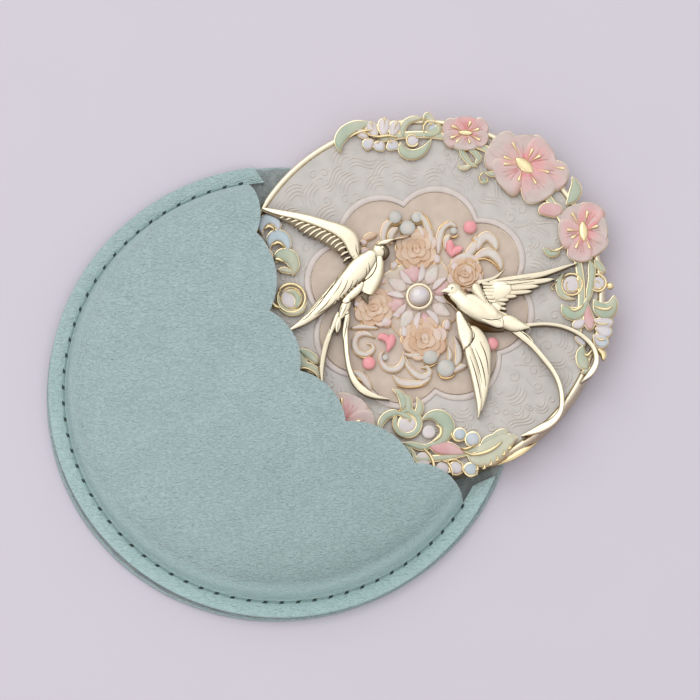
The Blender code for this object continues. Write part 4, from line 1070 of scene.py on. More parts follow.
def build_lower_garland():
    garland = Garland(range(58, 208, 10), 2)
    inlay, gold, spiral, leaves, buds, lilac = garland.tools()

    inlay(lilac, [(266, 237, 1.2), (264.5, 229, 3.8), (269, 222, 5), (276, 221.5, 5), (281, 227, 3.6),
        (281, 235, 1.2)], (0.6, 0.9, 0.6), 0.42)
    inlay(lilac, [(273, 251, 1.2), (273.5, 243, 4.2), (279, 237.5, 5.4), (286.5, 239.5, 5), (291, 247, 3.2),
        (290, 254, 1)], (0.9, 1, 0.8), 0.42, 0.02)
    for x, y in ((272.5, 229.5), (281, 245.5)):
        gold([(x - 5, y + 2.5, 0.5), (x - 1, y - 0.5, 1.7), (x + 3, y + 0.5, 1.6), (x + 6, y + 4, 0.5)],
            FILL + 0.1, 0.45, 0.25)
    inlay(buds[1], [(264, 241, 1), (268, 249, 2.8), (273, 255, 2), (276, 259, 0.8)], (0.9, 1), 0.34)
    inlay(leaves[5], [(278, 264, 2), (284, 257.5, 6), (293, 259, 6.8), (297.5, 268, 4.6), (296, 277, 1.2)],
        (0.2, 0.2, 0.6, 0.8), 0.42)
    gold([(278, 262, 0.6), (282, 261.5, 2.2), (287, 264.5, 0.8)], FILL + 0.25, 0.4, 0.2, tip=(0.2, 0.2))
    inlay(leaves[5], [(281, 272, 0.9), (288, 271.5, 2.6), (296, 275, 0.9)], (1, 0.9), 0.3)
    gold([(262, 228, 1.2), (259, 234, 2), (256.5, 240, 1.2)], ONLAY, 0.4, 0.3)

    spiral((294, 299.5), 14.6, 13.2, -2.6, 6.5, (1.5, 1.3), FILL - 0.15, 0.34, 20)
    spiral((294, 299.5), 10.8, 9.6, -2.6, 6.3, (0.9, 0.8), FILL - 0.15, 0.3, 16)
    inlay(leaves[5], [(282, 296, 0.9), (283.5, 306, 2.4), (292, 313, 2.8), (303, 312, 2.4),
        (309.5, 304, 0.9)], (0.6, 0.9), 0.2, -0.06)
    lilac.disc((294, 299.5), 9.8, ONLAY, 0.16, 0.24, (0.1, 0.2))
    inlay(garland.stems, [(290, 293, 0.8), (297, 294, 2.4), (301, 300, 2.8), (299, 310, 2)], (0.5, 0.2), 0.3)
    gold([(274, 301, 0.8), (277, 306, 2.4), (283, 309, 1)], ONLAY, 0.4, 0.3)
    inlay(leaves[4], [(262, 296, 1), (265, 305, 5), (268, 316, 5.6), (274, 325, 1.6)], (0.2, 0.5), 0.38)

    inlay(leaves[3], [(301, 350, 0.8), (308, 353, 3.2), (315.5, 358, 3.8), (321, 364, 1.8)], (0.1, 0.3, 0.7),
        0.38)
    inlay(leaves[3], [(300, 367, 0.8), (308, 366, 3), (316.5, 369.5, 3.6), (324, 379, 1.4)], (0.2, 0.5, 0.9),
        0.36)
    gold([(302, 369, 0.5), (310, 369, 1.2), (318, 374, 1), (324, 383, 0.5)], FILL + 0.15, 0.3, 0.2)
    inlay(leaves[3], [(288, 346, 1), (296, 352, 4.6), (305, 362, 4.6), (312, 373, 1.2)], (0.4, 0.6), 0.3,
        -0.08)

    garland.blossom(garland.pinks[0], (345, 424), 33, 31, 0,
        ((-160, 0.98, (0.2, 0.4, 0.6, 0.8), 0), (-112, 1, (0.1, 0.3, 0.7, 0.9), 0.04),
        (-62, 1, (0.1, 0.4, 0.7, 0.9), 0.02), (0, 0.96, (0.2, 0.5, 0.7, 0.9), 0.10),
        (60, 0.96, (0.1, 0.4, 0.7, 0.8), 0.05), (125, 0.98, (0.15, 0.4, 0.7, 0.9), 0.08)), (9, 3.6, 0.6),
        ((344, 400), (361, 421), (330, 412), (352, 441), (333, 437)), 0, 0.46)
    garland.blossom(garland.pinks[1], (283, 392), 26, 25, 0.3,
        ((-150, 0.98, (0.2, 0.5, 0.7, 0.9), 0), (-80, 0.98, (0.1, 0.3, 0.6, 0.8), 0.05),
        (-10, 0.98, (0.2, 0.4, 0.7, 0.9), 0.02), (62, 0.98, (0.1, 0.4, 0.7, 0.8), 0.07),
        (135, 0.98, (0.1, 0.4, 0.6, 0.8), 0.04)), (7, 3, 0.9),
        ((276, 376), (296, 382), (268, 396), (284, 408), (297, 400)), 0, 0.46)

    inlay(leaves[2], [(394, 389, 0.7), (401, 393, 2.8), (405, 401, 3.6), (404, 409, 2.6)], (0.9, 0.4, 0.2),
        0.36)
    inlay(leaves[2], [(405, 394, 0.7), (409.5, 399, 2.8), (410, 407, 3.2), (408, 412, 2)], (0.8, 0.3), 0.36,
        0.02)
    inlay(leaves[2], [(418, 397, 0.7), (421, 404, 2.8), (420, 411, 3.4), (417, 416, 2)], (0.9, 0.3), 0.36)
    inlay(leaves[2], [(383, 431, 0.9), (382.5, 423, 2.6), (388, 415.5, 3.4), (396, 412.5, 3.2),
        (403, 413.5, 1.6)], (0.7, 0.3, 0.2), 0.36)
    spiral((408.5, 422.5), 15, 14.2, -2.3, 6.6, (0.9, 0.9), FILL - 0.12, 0.3, 20)
    ring = [(*from_polar((408.5, 422.5), 12.2, -2.3 + 0.5 * step), 2.7) for step in range(13)]
    inlay(leaves[1], ring, (0.3, 0.2, 0.5), 0.3, 0, 0.7, samples=44)
    garland.gold.disc((408.5, 422.5), 9.4, ONLAY, 0.05, 0.22, section="flat")
    lilac.disc((408.5, 423.5), 8.4, ONLAY, 0.2, 0.3, (0, 0.1))
    inlay(leaves[1], [(398, 412, 1), (405, 414.5, 2.4), (410, 417, 2), (411, 421, 0.8)], (0.3, 0.6), 0.3, 0.1)
    inlay(leaves[0], [(422, 420, 1), (431, 415, 4), (441, 416.5, 6.6), (448, 425, 6.8), (445, 436, 5.4),
        (435, 443, 3.4), (424, 445, 1.4)], (0.5, 0.2, 0.1, 0.4, 0.6), 0.46)
    gold([(437, 425, 0.5), (441.5, 428, 1.7), (441, 435, 1.5), (435, 441, 0.5)], FILL + 0.38, 0.3, 0.2)
    lilac.disc((430, 431), 6.5, ONLAY, 0.16, 0.3, (0, 0.1))
    inlay(leaves[1], [(404, 442, 1), (414, 444, 2.6), (425, 446.5, 2.8), (434, 443, 1.2)], (0.2, 0.5), 0.34)
    inlay(leaves[1], [(406, 444, 1), (412, 450, 2.2), (416, 459, 1.8), (418, 468, 0.8)], (0.3, 0.8), 0.3)
    for knots in ([(424, 447, 0.8), (431, 454, 1.8), (434.5, 462, 1.8), (435, 471, 0.7)],
                  [(442, 459, 0.7), (449, 462, 1.6), (452.5, 469, 1.5), (453, 475, 0.6)],
                  [(412, 449, 0.6), (415, 458, 1), (421, 465, 1), (425, 472, 0.5)]):
        gold(knots, ONLAY, 0.4, 0.45)
    lilac.disc((424, 460), lambda turn: 6.2 + 3.2 * abs(math.sin(turn)), ONLAY, 0.2, 0.3, (0, 0))
    lilac.disc((443, 467), 6.4, ONLAY, 0.2, 0.3, (0.1, 0.3))
    inlay(buds[0], [(430, 445.5, 1.2), (438, 447, 5.4), (449, 447.5, 6.4), (459, 450.5, 3.8),
        (466, 452.5, 1)], (0, 0.2, 0.7, 1), 0.42)
    for x, y, r, tone in (
            (460.5, 433.5, 5.6, 1), (473, 438.5, 6.8, 0.9), (457, 466.5, 6.4, 0.3), (471, 468.5, 6.4, 1)):
        garland.gold.disc((x, y), r + 1.2, ONLAY, 0.05, 0.42, section="flat")
        lilac.disc((x, y), r, FILL, 0.5, 0.05, (tone * 0.8, tone))
    for knots in ([(452, 430, 0.5), (453, 436, 1.5), (458, 440.5, 1.3), (465, 440, 0.5)],
                  [(461, 447, 0.5), (466, 448, 1.5), (471, 446.5, 1.1), (476, 443.5, 0.4)],
                  [(462, 463, 0.5), (464, 470, 1.5), (470, 475, 1.5), (478, 473, 0.6)],
                  [(447, 462, 0.4), (451, 459, 1.3), (457, 459, 1.1), (462, 463, 0.5)]):
        gold(knots, FILL, 0.45, 0.25)
    inlay(leaves[0], [(467, 453, 1.6), (477, 457, 8.2), (489, 452, 12), (501, 443.5, 10.5), (511, 438, 5.4),
        (517, 436.5, 1.2)], (0.9, 0.8, 0.8, 0.9, 1), 0.44, samples=34, cross=13, section="vein")
    gold([(464, 451.5, 0.5), (474, 454, 1.3), (486, 451.5, 1.7), (495, 447, 1.4), (502, 441, 0.5)],
        FILL + 0.42, 0.3, 0.2)
    for x, y in ((478, 468), (485, 466.5), (491.5, 463), (498, 458.5), (504.5, 453), (510, 447)):
        gold([(x - 2.6, y + 1.6, 0.5), (x, y, 1.3), (x - 1, y - 4, 0.4)], FILL + 0.05, 0.35, 0.2)
    for x, y in ((487, 440), (497, 434.5)):
        inlay(leaves[0], [(x - 7, y + 5, 1), (x, y, 3.6), (x + 7, y - 3, 3.2), (x + 10, y - 1, 0.8)],
            (0.4, 0.8), 0.3, -0.06)
    gold([(498, 463, 0.8), (510, 457, 2.6), (523, 449.5, 2.8), (536, 441, 0.8)], ONLAY, 0.28, 0.3,
        section="roof")

    garland.build("lower")


def build_rosette():
    relief = Relief(ENAMEL + 0.02, 5.72)
    inlay, gold, spiral = relief.inlay, relief.gold.stroke, relief.spiral
    ground, leaves, scrolls = Shells(), Shells(), Shells()
    tans = [Shells() for _ in range(4)]
    relief.gold.disc(HUB, lambda turn: 41 + 3.5 * math.sin(4 * turn + 0.6), ENAMEL + 0.02, 0.05, 0.30,
        section="flat")
    ground.disc(HUB, lambda turn: 40.3 + 3.5 * math.sin(4 * turn + 0.6), 5.60, 0.08, 0.04, (0, 0.3),
        section="flat", steps=72)

    quarter = [math.radians(-15 - 90 * index) for index in range(4)]
    for turn in quarter:
        leaves.stroke(spokes(turn, (15, 0, 2), (22, 0, 5), (28, 0, 7.8), (32, 0, 7)), 5.66, 0.46, 0.12,
            (0.42, 0.5, 0.36), "roof", tip=(0.2, 0.3))
        for swing, section in ((-0.36, "right slab"), (0.36, "left slab")):
            leaves.stroke(spokes(turn, (14, swing * 0.6, 1.2), (21, swing, 3.4), (27, swing * 1.05, 3),
                (33, swing * 0.98, 0.8)), 5.74, 0.50, 0.14, (0, 0.1), section, tip=(0.2, 0.1))
        leaves.stroke(spokes(turn + 0.785, (14, 0, 2), (22, 0, 6.4), (29, 0, 4.8), (36, 0, 1)), 5.68, 0.44,
            0.12, (0.9, 1), "vein", tip=(0.2, 0.1), cross=13)

    for index, (x, y, reach) in enumerate((
            (465.5, 276, 17), (417.5, 250.5, 20), (375.5, 308.5, 19), (426, 339.5, 21))):
        turn = quarter[index]
        wave = random.uniform(0, 6)
        shells = tans[index]
        relief.gold.disc((x, y), uneven(reach, wave, 0.7), 5.34, 0.05, 0.36, section="flat", steps=64)
        shells.disc((x, y), uneven(reach, wave), 5.70, 0.26, 0.05, (0.4, 0.1), steps=64)
        for ring, count, size, rise in (
                (0.74, 8, 0.27, 0), (0.50, 6, 0.25, 0.12), (0.27, 4, 0.20, 0.22), (0.06, 2, 0.13, 0.30)):
            for step in range(count):
                swing = math.tau * (step + random.uniform(-0.15, 0.15)) / count + turn + ring * 3
                span = math.pi / count * random.uniform(1, 1.3)
                tone = random.choice((0, 0.2, 0.4, 0.5, 0.9))
                knots = []
                for share in (-1, -0.55, 0, 0.55, 1):
                    out = reach * (ring + 0.09 * (1 - share * share) - 0.07 * abs(share))
                    half = reach * size * (1 - 0.55 * share * share)
                    knots.append((*from_polar((x, y), out, swing + span * share), half))
                shells.stroke(knots, 5.76 + rise, 0.42, 0.06, (tone * 0.4, tone, tone * 0.6), "left", 20, 11,
                    tip=(0.25, 0.25))
                out = reach * (ring + size * 0.9)
                knots = [(*from_polar((x, y), out, swing + span * share), 0.55 * (1 - share * share) + 0.1)
                    for share in (-0.8, -0.3, 0.3, 0.8)]
                gold(knots, 5.80 + rise, 0.20, 0.06, cross=5)

    for x, y, half, length, lean in (
            (437.8, 260.6, 3.6, 4.4, 1.45), (395.6, 266.6, 4.4, 3, 0.6), (405.6, 332.4, 3.8, 5, 1.5),
            (447.8, 325.4, 3.8, 5, 1.7), (388.2, 322.6, 4.8, 4.6, 0.1), (455.4, 268, 4, 3.6, -0.7),
            (359, 305, 3.2, 2.4, 1.4), (384, 282, 3.8, 3, 1.2), (399, 316, 3.4, 2.6, 0.8),
            (366.5, 253, 3.6, 4, -0.5), (365.6, 243.9, 3, 3, 0.4)):
        dx, dy = math.cos(lean) * length, math.sin(lean) * length
        inlay(leaves, [(x - dx, y - dy, half * 0.8), (x, y, half), (x + dx, y + dy, half * 0.8)], (0, 0.2),
            0.56, 0, 0.6)

    for knots in (
            [(386, 252, 1), (385, 238, 2.6), (388, 227, 3), (395, 222, 2)],
            [(392, 246, 1.2), (393, 236, 3.2), (399, 229, 1.6)],
            [(431, 250, 1), (431.5, 238, 2.8), (428, 226, 3.2), (421, 217, 2.6), (415, 214.5, 1)],
            [(424, 243, 1), (423, 234, 2.6), (419, 228, 1.4)],
            [(439, 257, 1.4), (440, 242, 3), (443.5, 230, 3), (451, 225.5, 2.4), (457.5, 229, 1)],
            [(446, 251, 1), (447.5, 241, 2.8), (451, 236.5, 1.2)],
            [(462, 262, 1), (470, 254, 3.6), (476, 245, 3.4), (476, 237, 1)],
            [(478, 252, 1.4), (480, 243, 4), (487, 238, 4.6), (494, 243, 3.8), (497, 252, 1.4)],
            [(472, 264, 1), (482, 255.5, 3.8), (491, 254.5, 4.4), (499, 262, 3.4), (501, 272, 1)],
            [(451, 268, 0.9), (456, 261, 2.6), (465, 257, 2.8), (475, 260, 2.2), (480, 267, 0.8)],
            [(353, 328.5, 0.9), (366, 327, 2.2), (380, 328.5, 0.9)],
            [(377, 338, 0.9), (368, 333.5, 2.2), (359.5, 336, 2.6), (356.5, 344, 2.8), (360, 352, 2.8),
             (368.5, 354.5, 2.4), (375, 350, 1.8), (374, 344.5, 1.2), (369, 343.5, 0.7)],
            [(405, 351, 0.9), (404.5, 361, 2.4), (399, 368.5, 2.8), (390.5, 369, 2.8), (384, 363.5, 2.4),
             (382, 356, 1.6), (385.5, 351, 0.8)],
            [(404, 353.5, 0.8), (414, 355.5, 1.9), (426, 353.5, 1.2)],
            [(406, 355, 0.9), (409.5, 365, 2.4), (416, 373, 2.8), (424, 376.8, 3), (430.5, 373, 2.4),
             (428.5, 367, 1.6), (422.5, 367.5, 0.8)],
            [(395, 375, 1), (402, 381.5, 3.4), (413, 383.5, 3.4), (424, 382.5, 2.8), (432, 376.5, 1)],
            [(455, 337, 1), (459, 348, 3), (459.5, 358, 3), (456, 366, 1.4)],
            [(449, 347, 0.9), (450.8, 355, 2.2), (449.5, 361, 0.8)],
            [(454, 372, 0.9), (461, 367, 2.8), (468, 365, 0.9)],
            [(354, 371, 1), (361, 374, 3.4), (367.5, 381, 3.8), (373, 391, 1.2)],
            [(480, 330, 1), (487, 322, 3.2), (491, 312, 3.2), (489, 303, 1.2)]):
        inlay(scrolls, knots, (0.9, 1), 0.40, 0, 0.55, (0.15, 0.15), section="slab")
    for knots in (
            [(364, 242, 1.2), (371.5, 238, 3.4), (379, 236, 1.4)],
            [(376, 247, 0.9), (383, 245, 2.4), (389, 247, 1)]):
        inlay(tans[1], knots, (0.2, 0.4), 0.4, 0, 0.5)
    for knots in (
            [(471, 265, 0.4), (477, 261.5, 0.9), (485, 260.5, 1), (493, 264, 0.9), (499.5, 272, 0.4)],
            [(472, 240, 0.3), (475, 243, 1.4), (478, 246, 0.3)],
            [(449.5, 238.4, 0.3), (455, 239, 1.2), (460, 236, 0.4)],
            [(424, 216, 0.4), (429, 222, 1.2), (433, 232, 0.5)],
            [(440, 232, 0.4), (444, 226.5, 1.2), (450, 224, 0.4)],
            [(405, 354, 0.3), (408, 362, 0.7), (413, 369, 0.3)],
            [(357, 377, 0.4), (360.5, 378.5, 1.2), (364, 382, 0.4)],
            [(398, 385.5, 0.4), (408, 387, 0.9), (420, 386, 0.9), (429, 381.5, 0.4)],
            [(438, 372, 0.4), (443, 377.5, 1.2), (451, 377.5, 1), (457, 373, 0.4)],
            [(359, 355, 0.4), (366, 358, 0.9), (374, 355.5, 0.4)],
            [(425, 364.6, 0.4), (431.5, 366.4, 1), (438, 363, 0.4)]):
        gold(knots, 5.72, 0.34, 0.2)
    spiral((465.5, 276), 11.6, 10.4, 0.4, 6.3, (0.8, 0.7), 5.84, 0.44, 16)
    spiral((396.7, 219.8), 7.6, 6.6, 0.3, 3, (0.8, 0.5), 5.7, 0.4)
    spiral((417.8, 219.8), 6.8, 6, 0.2, 3, (0.8, 0.5), 5.7, 0.4)
    spiral((409, 230.4), 8.8, 8.2, 0.3, 2.6, (0.8, 0.5), 5.7, 0.4)

    relief.gold.build("rosette_gold", "plated_gold_shaded", "rosette_casting")
    ground.build("rosette_ground", "beige_enamel")
    leaves.build("rosette_leaves", "rosette_enamel", "rosette_petals")
    scrolls.build("rosette_scrolls", "rosette_enamel")
    for index, shells in enumerate(tans, 1):
        shells.build(f"carved_petals_{index}", "tan_enamel", f"carved_blossom_{index}")

    for index, lobes in enumerate((
            ([(451.5, 241.5, 2.6), (450.6, 247, 4.4), (450.8, 253, 3.4), (452.5, 258, 0.8)],
             [(463.5, 250, 2.4), (458.5, 251, 4), (454.5, 254, 3.2), (452.5, 258, 0.8)]),
            ([(379.5, 339, 2.6), (384, 337, 3.8), (389, 340, 3.4), (390, 346, 1.6)],
             [(393.5, 334.5, 3), (393, 340, 4.4), (391, 346, 3.6), (389, 352, 0.8)])), 1):
        heart = Shells()
        for knots in lobes:
            heart.stroke(knots, 5.72, 0.78, 0.14, (0.2, 0, 0.1), samples=22, tip=(0.25, 0), cross=13)
        heart.build(f"heart_enamel_{index}", "rose_enamel", f"heart_{index}")
    for name, node, look, z, tones, *groups in (
            ("rose_bead", "pink_bead", "rose_enamel", 5.76, (0, 0.1, 0.2),
             [(470.5, 229, 6.6, 0.85)], [(370.8, 363, 6.6, 0.85)], [(492, 344, 6.6, 0.85)]),
            ("clear_bead", "pale_bead", "bead_enamel", 5.74, (0, 0.3, 0.8),
             [(396.7, 219.6, 6.4, 0.64), (417.8, 219.6, 5.4, 0.54), (409, 230.2, 7.8, 0.78),
              (454.4, 232.6, 3.4, 0.34), (386.9, 357.4, 3, 0.3)],
             [(431.2, 357.2, 7.6, 0.76)], [(446.8, 368.4, 9, 0.9)])):
        for index, beads in enumerate(groups, 1):
            bead = Shells()
            for x, y, size, crown in beads:
                bead.disc((x, y), size, z, crown, 0.15, tones, 7)
            bead.build(f"{name}_{index}", look, f"{node}_{index}")

    cup, pearl = Shells(), Shells()
    cup.lathe([(0, 6.40), (2.22, 6.45), (2.26, 6.86), (2.34, 6.98), (2.50, 7.06), (2.68, 7.03), (2.83, 6.90),
        (2.90, 6.70), (2.92, 6.5), (2.92, 6.2), (0, 6.2)], 72)
    cup.build("pearl_setting", "plated_gold", "pearl_cup")
    skin = np.linspace(0, 1.57, 18)
    span = np.append(np.sin(skin), 1)[:, None]
    # The shade paints shade toward the pearl's rim; the tilt paints highlight and shade on the sides toward
    # and away from the light
    pearl.lathe([(2.24 * math.sin(turn), 6.5 + 1.65 * math.cos(turn)) for turn in skin] + [(0, 6.5)], 72,
                shade=0.6 * span ** 6, tilt=1.1 * span ** 1.5)
    pearl.build("pearl_cabochon", "pearl_white", "pearl")


# Swallows

# A quill's look: high on its left, with painted shade along its right
QUILL = dict(section="left slab", rim=(0, 0.8))


class Casting(Shells):
    """Strokes and discs over the birds' ground; those below a height stand on walls from the web up, darkened
    as painted shade.
    """

    # dark: the walls' shade, painted shade under the raised gold
    high, share, dark = 0.3, 0.66, 0.66

    def stroke(self, knots, rise, crown, edge=0.1, shade=0, section="dome", samples=0, cross=9, **more):
        super().stroke(knots, BIRD + rise, crown, edge, shade, section, samples, cross, **more)
        if rise < self.high:
            knots = np.array(knots, float)
            knots[:, 2] = np.clip(self.share * knots[:, 2], 0.25, None)
            super().stroke(knots, WEB + 0.2, 0, BIRD - WEB, self.dark, "flat", samples // 2, 5,
                tip=(0.1, 0.1))

    def disc(self, centre, reach, rise, *rest, **more):
        super().disc(centre, reach, BIRD + rise, *rest, **more)


def blade(root, tip, width, bend):
    """A feather from root to tip, widest past its middle and bent to one side."""
    root, tip = np.array(root, float), np.array(tip, float)
    run = tip - root
    side = np.array((-run[1], run[0]))
    return [(*(root + run * share + side * bend * math.sin(math.pi * share)), width * breadth)
            for share, breadth in ((0, 0.7), (0.275, 0.95), (0.55, 1), (0.82, 0.85), (1, 0.25))]


def build_right_swallow():
    bird = Casting()
    stroke = bird.stroke
    for root, tip, width, bend in (
            ((494, 312), (508, 317.5), 1.7, 0.03), ((494, 308), (506.5, 311.5), 1.7, 0.02),
            ((495, 305), (506, 306.5), 1.8, 0.02), ((494, 302), (509, 302), 1.9, 0.02),
            ((495, 298.5), (517, 298.5), 2.1, 0.02), ((496, 295), (532, 293.6), 2.4, 0.02),
            ((497, 291), (539, 288.4), 2.7, 0.01), ((498, 287), (554, 281.4), 3.1, 0.02)):
        stroke(blade(root, tip, width, bend), 0.05, 0.55, 0.12, samples=24, tip=(0, 0.16), **QUILL)
    stroke([(490, 287, 4.5), (503, 283.5, 4), (520, 280.5, 3.4), (541, 277, 3), (560, 271, 2),
        (577, 265.2, 0.3)], 0.08, 0.60, 0.15, samples=36, section="left slab", rim=(0, 0.9))
    stroke([(484, 300, 8), (492, 295, 10.5), (500, 292.5, 11), (507, 291, 8), (513, 290, 3)], 0.12, 0.58,
        0.15, section="slab", tip=(0.15, 0.25), cross=11)
    stroke([(492, 306, 5), (497, 309, 5.5), (501, 312, 3)], 0.1, 0.56, 0.15, section="slab", tip=(0.2, 0.3))
    for y, x in ((287, 491.5), (290.4, 492.5), (293.8, 492), (297.2, 490.5), (300.6, 492.5), (304, 494)):
        stroke([(x - 9, y - 0.6, 1.5), (x - 3, y - 0.2, 1.7), (x + 2.4, y + 0.4, 1.3)], 0.62, 0.26, 0.1,
            section="left slab", rim=(0, 1), tip=(0, 0.3))
    stroke([(478, 285.4, 2.4), (486, 283.6, 2), (493, 281.4, 1.7), (499, 277.8, 1.4), (505.3, 271.4, 0.3)],
        0.30, 0.58, 0.2, section="left slab", rim=(0, 0.9), samples=30)
    stroke([(472.6, 288.4, 3.6), (475.6, 290.4, 5.6), (480, 297, 4.4), (484.5, 303, 2.6), (489, 308.6, 0.6)],
        0.36, 0.62, 0.2, (0, 0, 0.1), "dome", tip=(0.2, 0), rim=(0, 0.75), cross=11)

    for knots, z, crown in (
            ([(470, 327, 5), (475.5, 338, 9.4), (479.5, 351, 11), (482, 366, 9), (483, 382, 6.8),
            (482.5, 398, 4), (481, 411, 0.8)], 0.02, 0.46),
            ([(467, 342, 3), (470, 356, 4.8), (474.5, 372, 5), (478, 390, 4.4), (479.6, 404, 3.2),
            (478.6, 418, 0.5)], 0.16, 0.46)):
        stroke(knots, z, crown, 0.2, section="slab", tip=(0.1, 0), samples=40, cross=11, rim=(0, 0.5))
    stroke([(458.5, 313, 2.2), (461.5, 323, 5), (465.5, 333, 7.4), (466.5, 343, 6), (464, 351, 1.6)], 0.42,
        0.44, 0.2, section="left slab", tip=(0.1, 0.2), rim=(0.6, 0), samples=30, cross=11)
    # A dark band below the body: painted shade on the belly
    stroke([(461.5, 313, 1.4), (469, 322, 4.2), (480, 327.6, 4.8), (492, 330, 3.8), (504, 331.5, 1.6)], 0,
        0.34, 0.2, (0.8, 1, 1, 0.9), "soft", 30, 11)
    stroke([(450.5, 293.5, 4), (454, 295, 8.2), (460, 300.5, 8.6), (467, 306.5, 10.2), (478, 312.8, 10.8),
        (491, 318.6, 9.8), (503, 323.8, 7.8), (515, 328, 5.6), (529, 330, 0.8)], 0.02,
        (0.5, 0.8, 0.94, 1.02, 1.02, 0.9, 0.7, 0.45, 0.2), 0.2, (0, 0, 0, 0, 0.1, 0.1, 0), samples=54,
        cross=19, tip=(0.1, 0), rim=(0, 1), section="slab")
    stroke([(461, 300, 4.6), (470, 305, 8.8), (481, 310.8, 9.6), (491, 315.6, 8), (500, 318.6, 2.2)], 0.80,
        0.32, 0.03, section="soft", tip=(0.2, 0.2), cross=13)
    stroke([(480, 321.5, 0.8), (489, 323.5, 3.4), (497, 326, 4.2), (504.5, 328.5, 3)], 0.72, 0.30, 0.1,
        section="left slab", tip=(0.1, 0.3), rim=(0, 0.9), cross=11)
    stroke([(500, 321.5, 4.6), (508, 324.5, 7.8), (517, 328, 6.6), (529, 329.6, 0.8)], 0.66, 0.34, 0.1,
        section="slab", tip=(0.25, 0), rim=(0, 0.9), cross=11)
    # A dark hollow at the throat: painted shade
    stroke([(444.5, 296.5, 0.8), (448.5, 300.5, 2.6), (453, 305, 2.8), (457.5, 309, 0.8)], 0.16, 0.55, 0.2, 1,
        "soft")
    stroke([(443.4, 296.6, 0.3), (447, 302.6, 0.6), (454, 308.4, 0.6), (461, 316, 0.6), (469, 325, 0.5),
        (477, 331.6, 0.3)], 0.18, 0.30, 0.3, cross=5)
    bird.disc((453.6, 292.6), lambda turn: 7.6 + 0.4 * math.cos(turn), 0.52, 0.60, 0.1, rings=8, steps=40,
        section="soft")
    stroke([(450.5, 293.2, 4.2), (446.5, 293.4, 2.6), (441.2, 294.6, 0.3)], 0.66, 0.36, 0.1, section="slab",
        rim=(0.7, 0))
    bird.disc((453, 291.8), 1.7, 1.12, 0.05, 0.05, (0.8, 1), rings=3, steps=18)
    bird.disc((453, 291.8), 0.95, 1.15, 0.10, 0.05, rings=3, steps=16)
    stroke([(511, 331.5, 2.6), (520, 335, 3.6), (527, 340.5, 4), (533, 346, 2.4)], 0, 0.5, 0.15,
        tip=(0, 0.25), **QUILL)
    stroke([(524, 328, 2.6), (531, 326.8, 1.9), (545, 326, 1.8), (560, 328, 1.9), (574, 333.4, 2.1),
        (585, 341, 2.3), (592.6, 351, 2.5), (594.6, 363, 2.9), (589.5, 373.6, 3.3), (580, 383, 0.6)], 0.1,
        (0.62, 0.62, 0.62, 0.62, 0.62, 0.7), 0.15, samples=70, **QUILL)
    stroke([(515, 333, 3.4), (524, 340, 3.3), (532.6, 348, 2.9), (542, 359, 2.7), (551, 370.5, 2.6),
        (557.8, 384, 2.5), (560.6, 398, 2.5), (559.6, 411, 2.7), (552, 421.5, 3.8), (539, 429, 4.3),
        (521, 436, 0.6)], 0.1, 0.64, 0.15, samples=76, **QUILL)
    # Dark draped lines in the gaps of tail, body and wings: painted shade
    bird.drape(((0.55, [(474, 333), (474.5, 339), (471, 345), (464.5, 353)]),
        (0.45, [(470, 357), (475, 372), (479, 388), (481, 400)]),
        (0.45, [(475.5, 350), (481, 363), (484.5, 376), (486, 388)]),
        (0.45, [(480, 343), (485, 354), (487.5, 364), (488.5, 376)]),
        (0.40, [(472.5, 350), (478.5, 368), (482.5, 386)]), (0.40, [(464, 317), (468, 326), (472, 333)]),
        (0.40, [(482, 320.5), (489, 322.3), (496, 322.2), (501, 320.5)]),
        (0.35, [(501.5, 318), (503, 323), (503.5, 329)]), (0.40, [(518, 332), (526, 337.5), (532, 344)]),
        (0.45, [(482.5, 290), (485, 297), (488.5, 304), (491.5, 308)]),
        (0.35, [(497, 284), (512, 283), (530, 280)]), (0.35, [(500, 288), (516, 286.5), (534, 284)])))
    bird.build("right_swallow_gold", "plated_gold", "right_swallow", sharp=50)


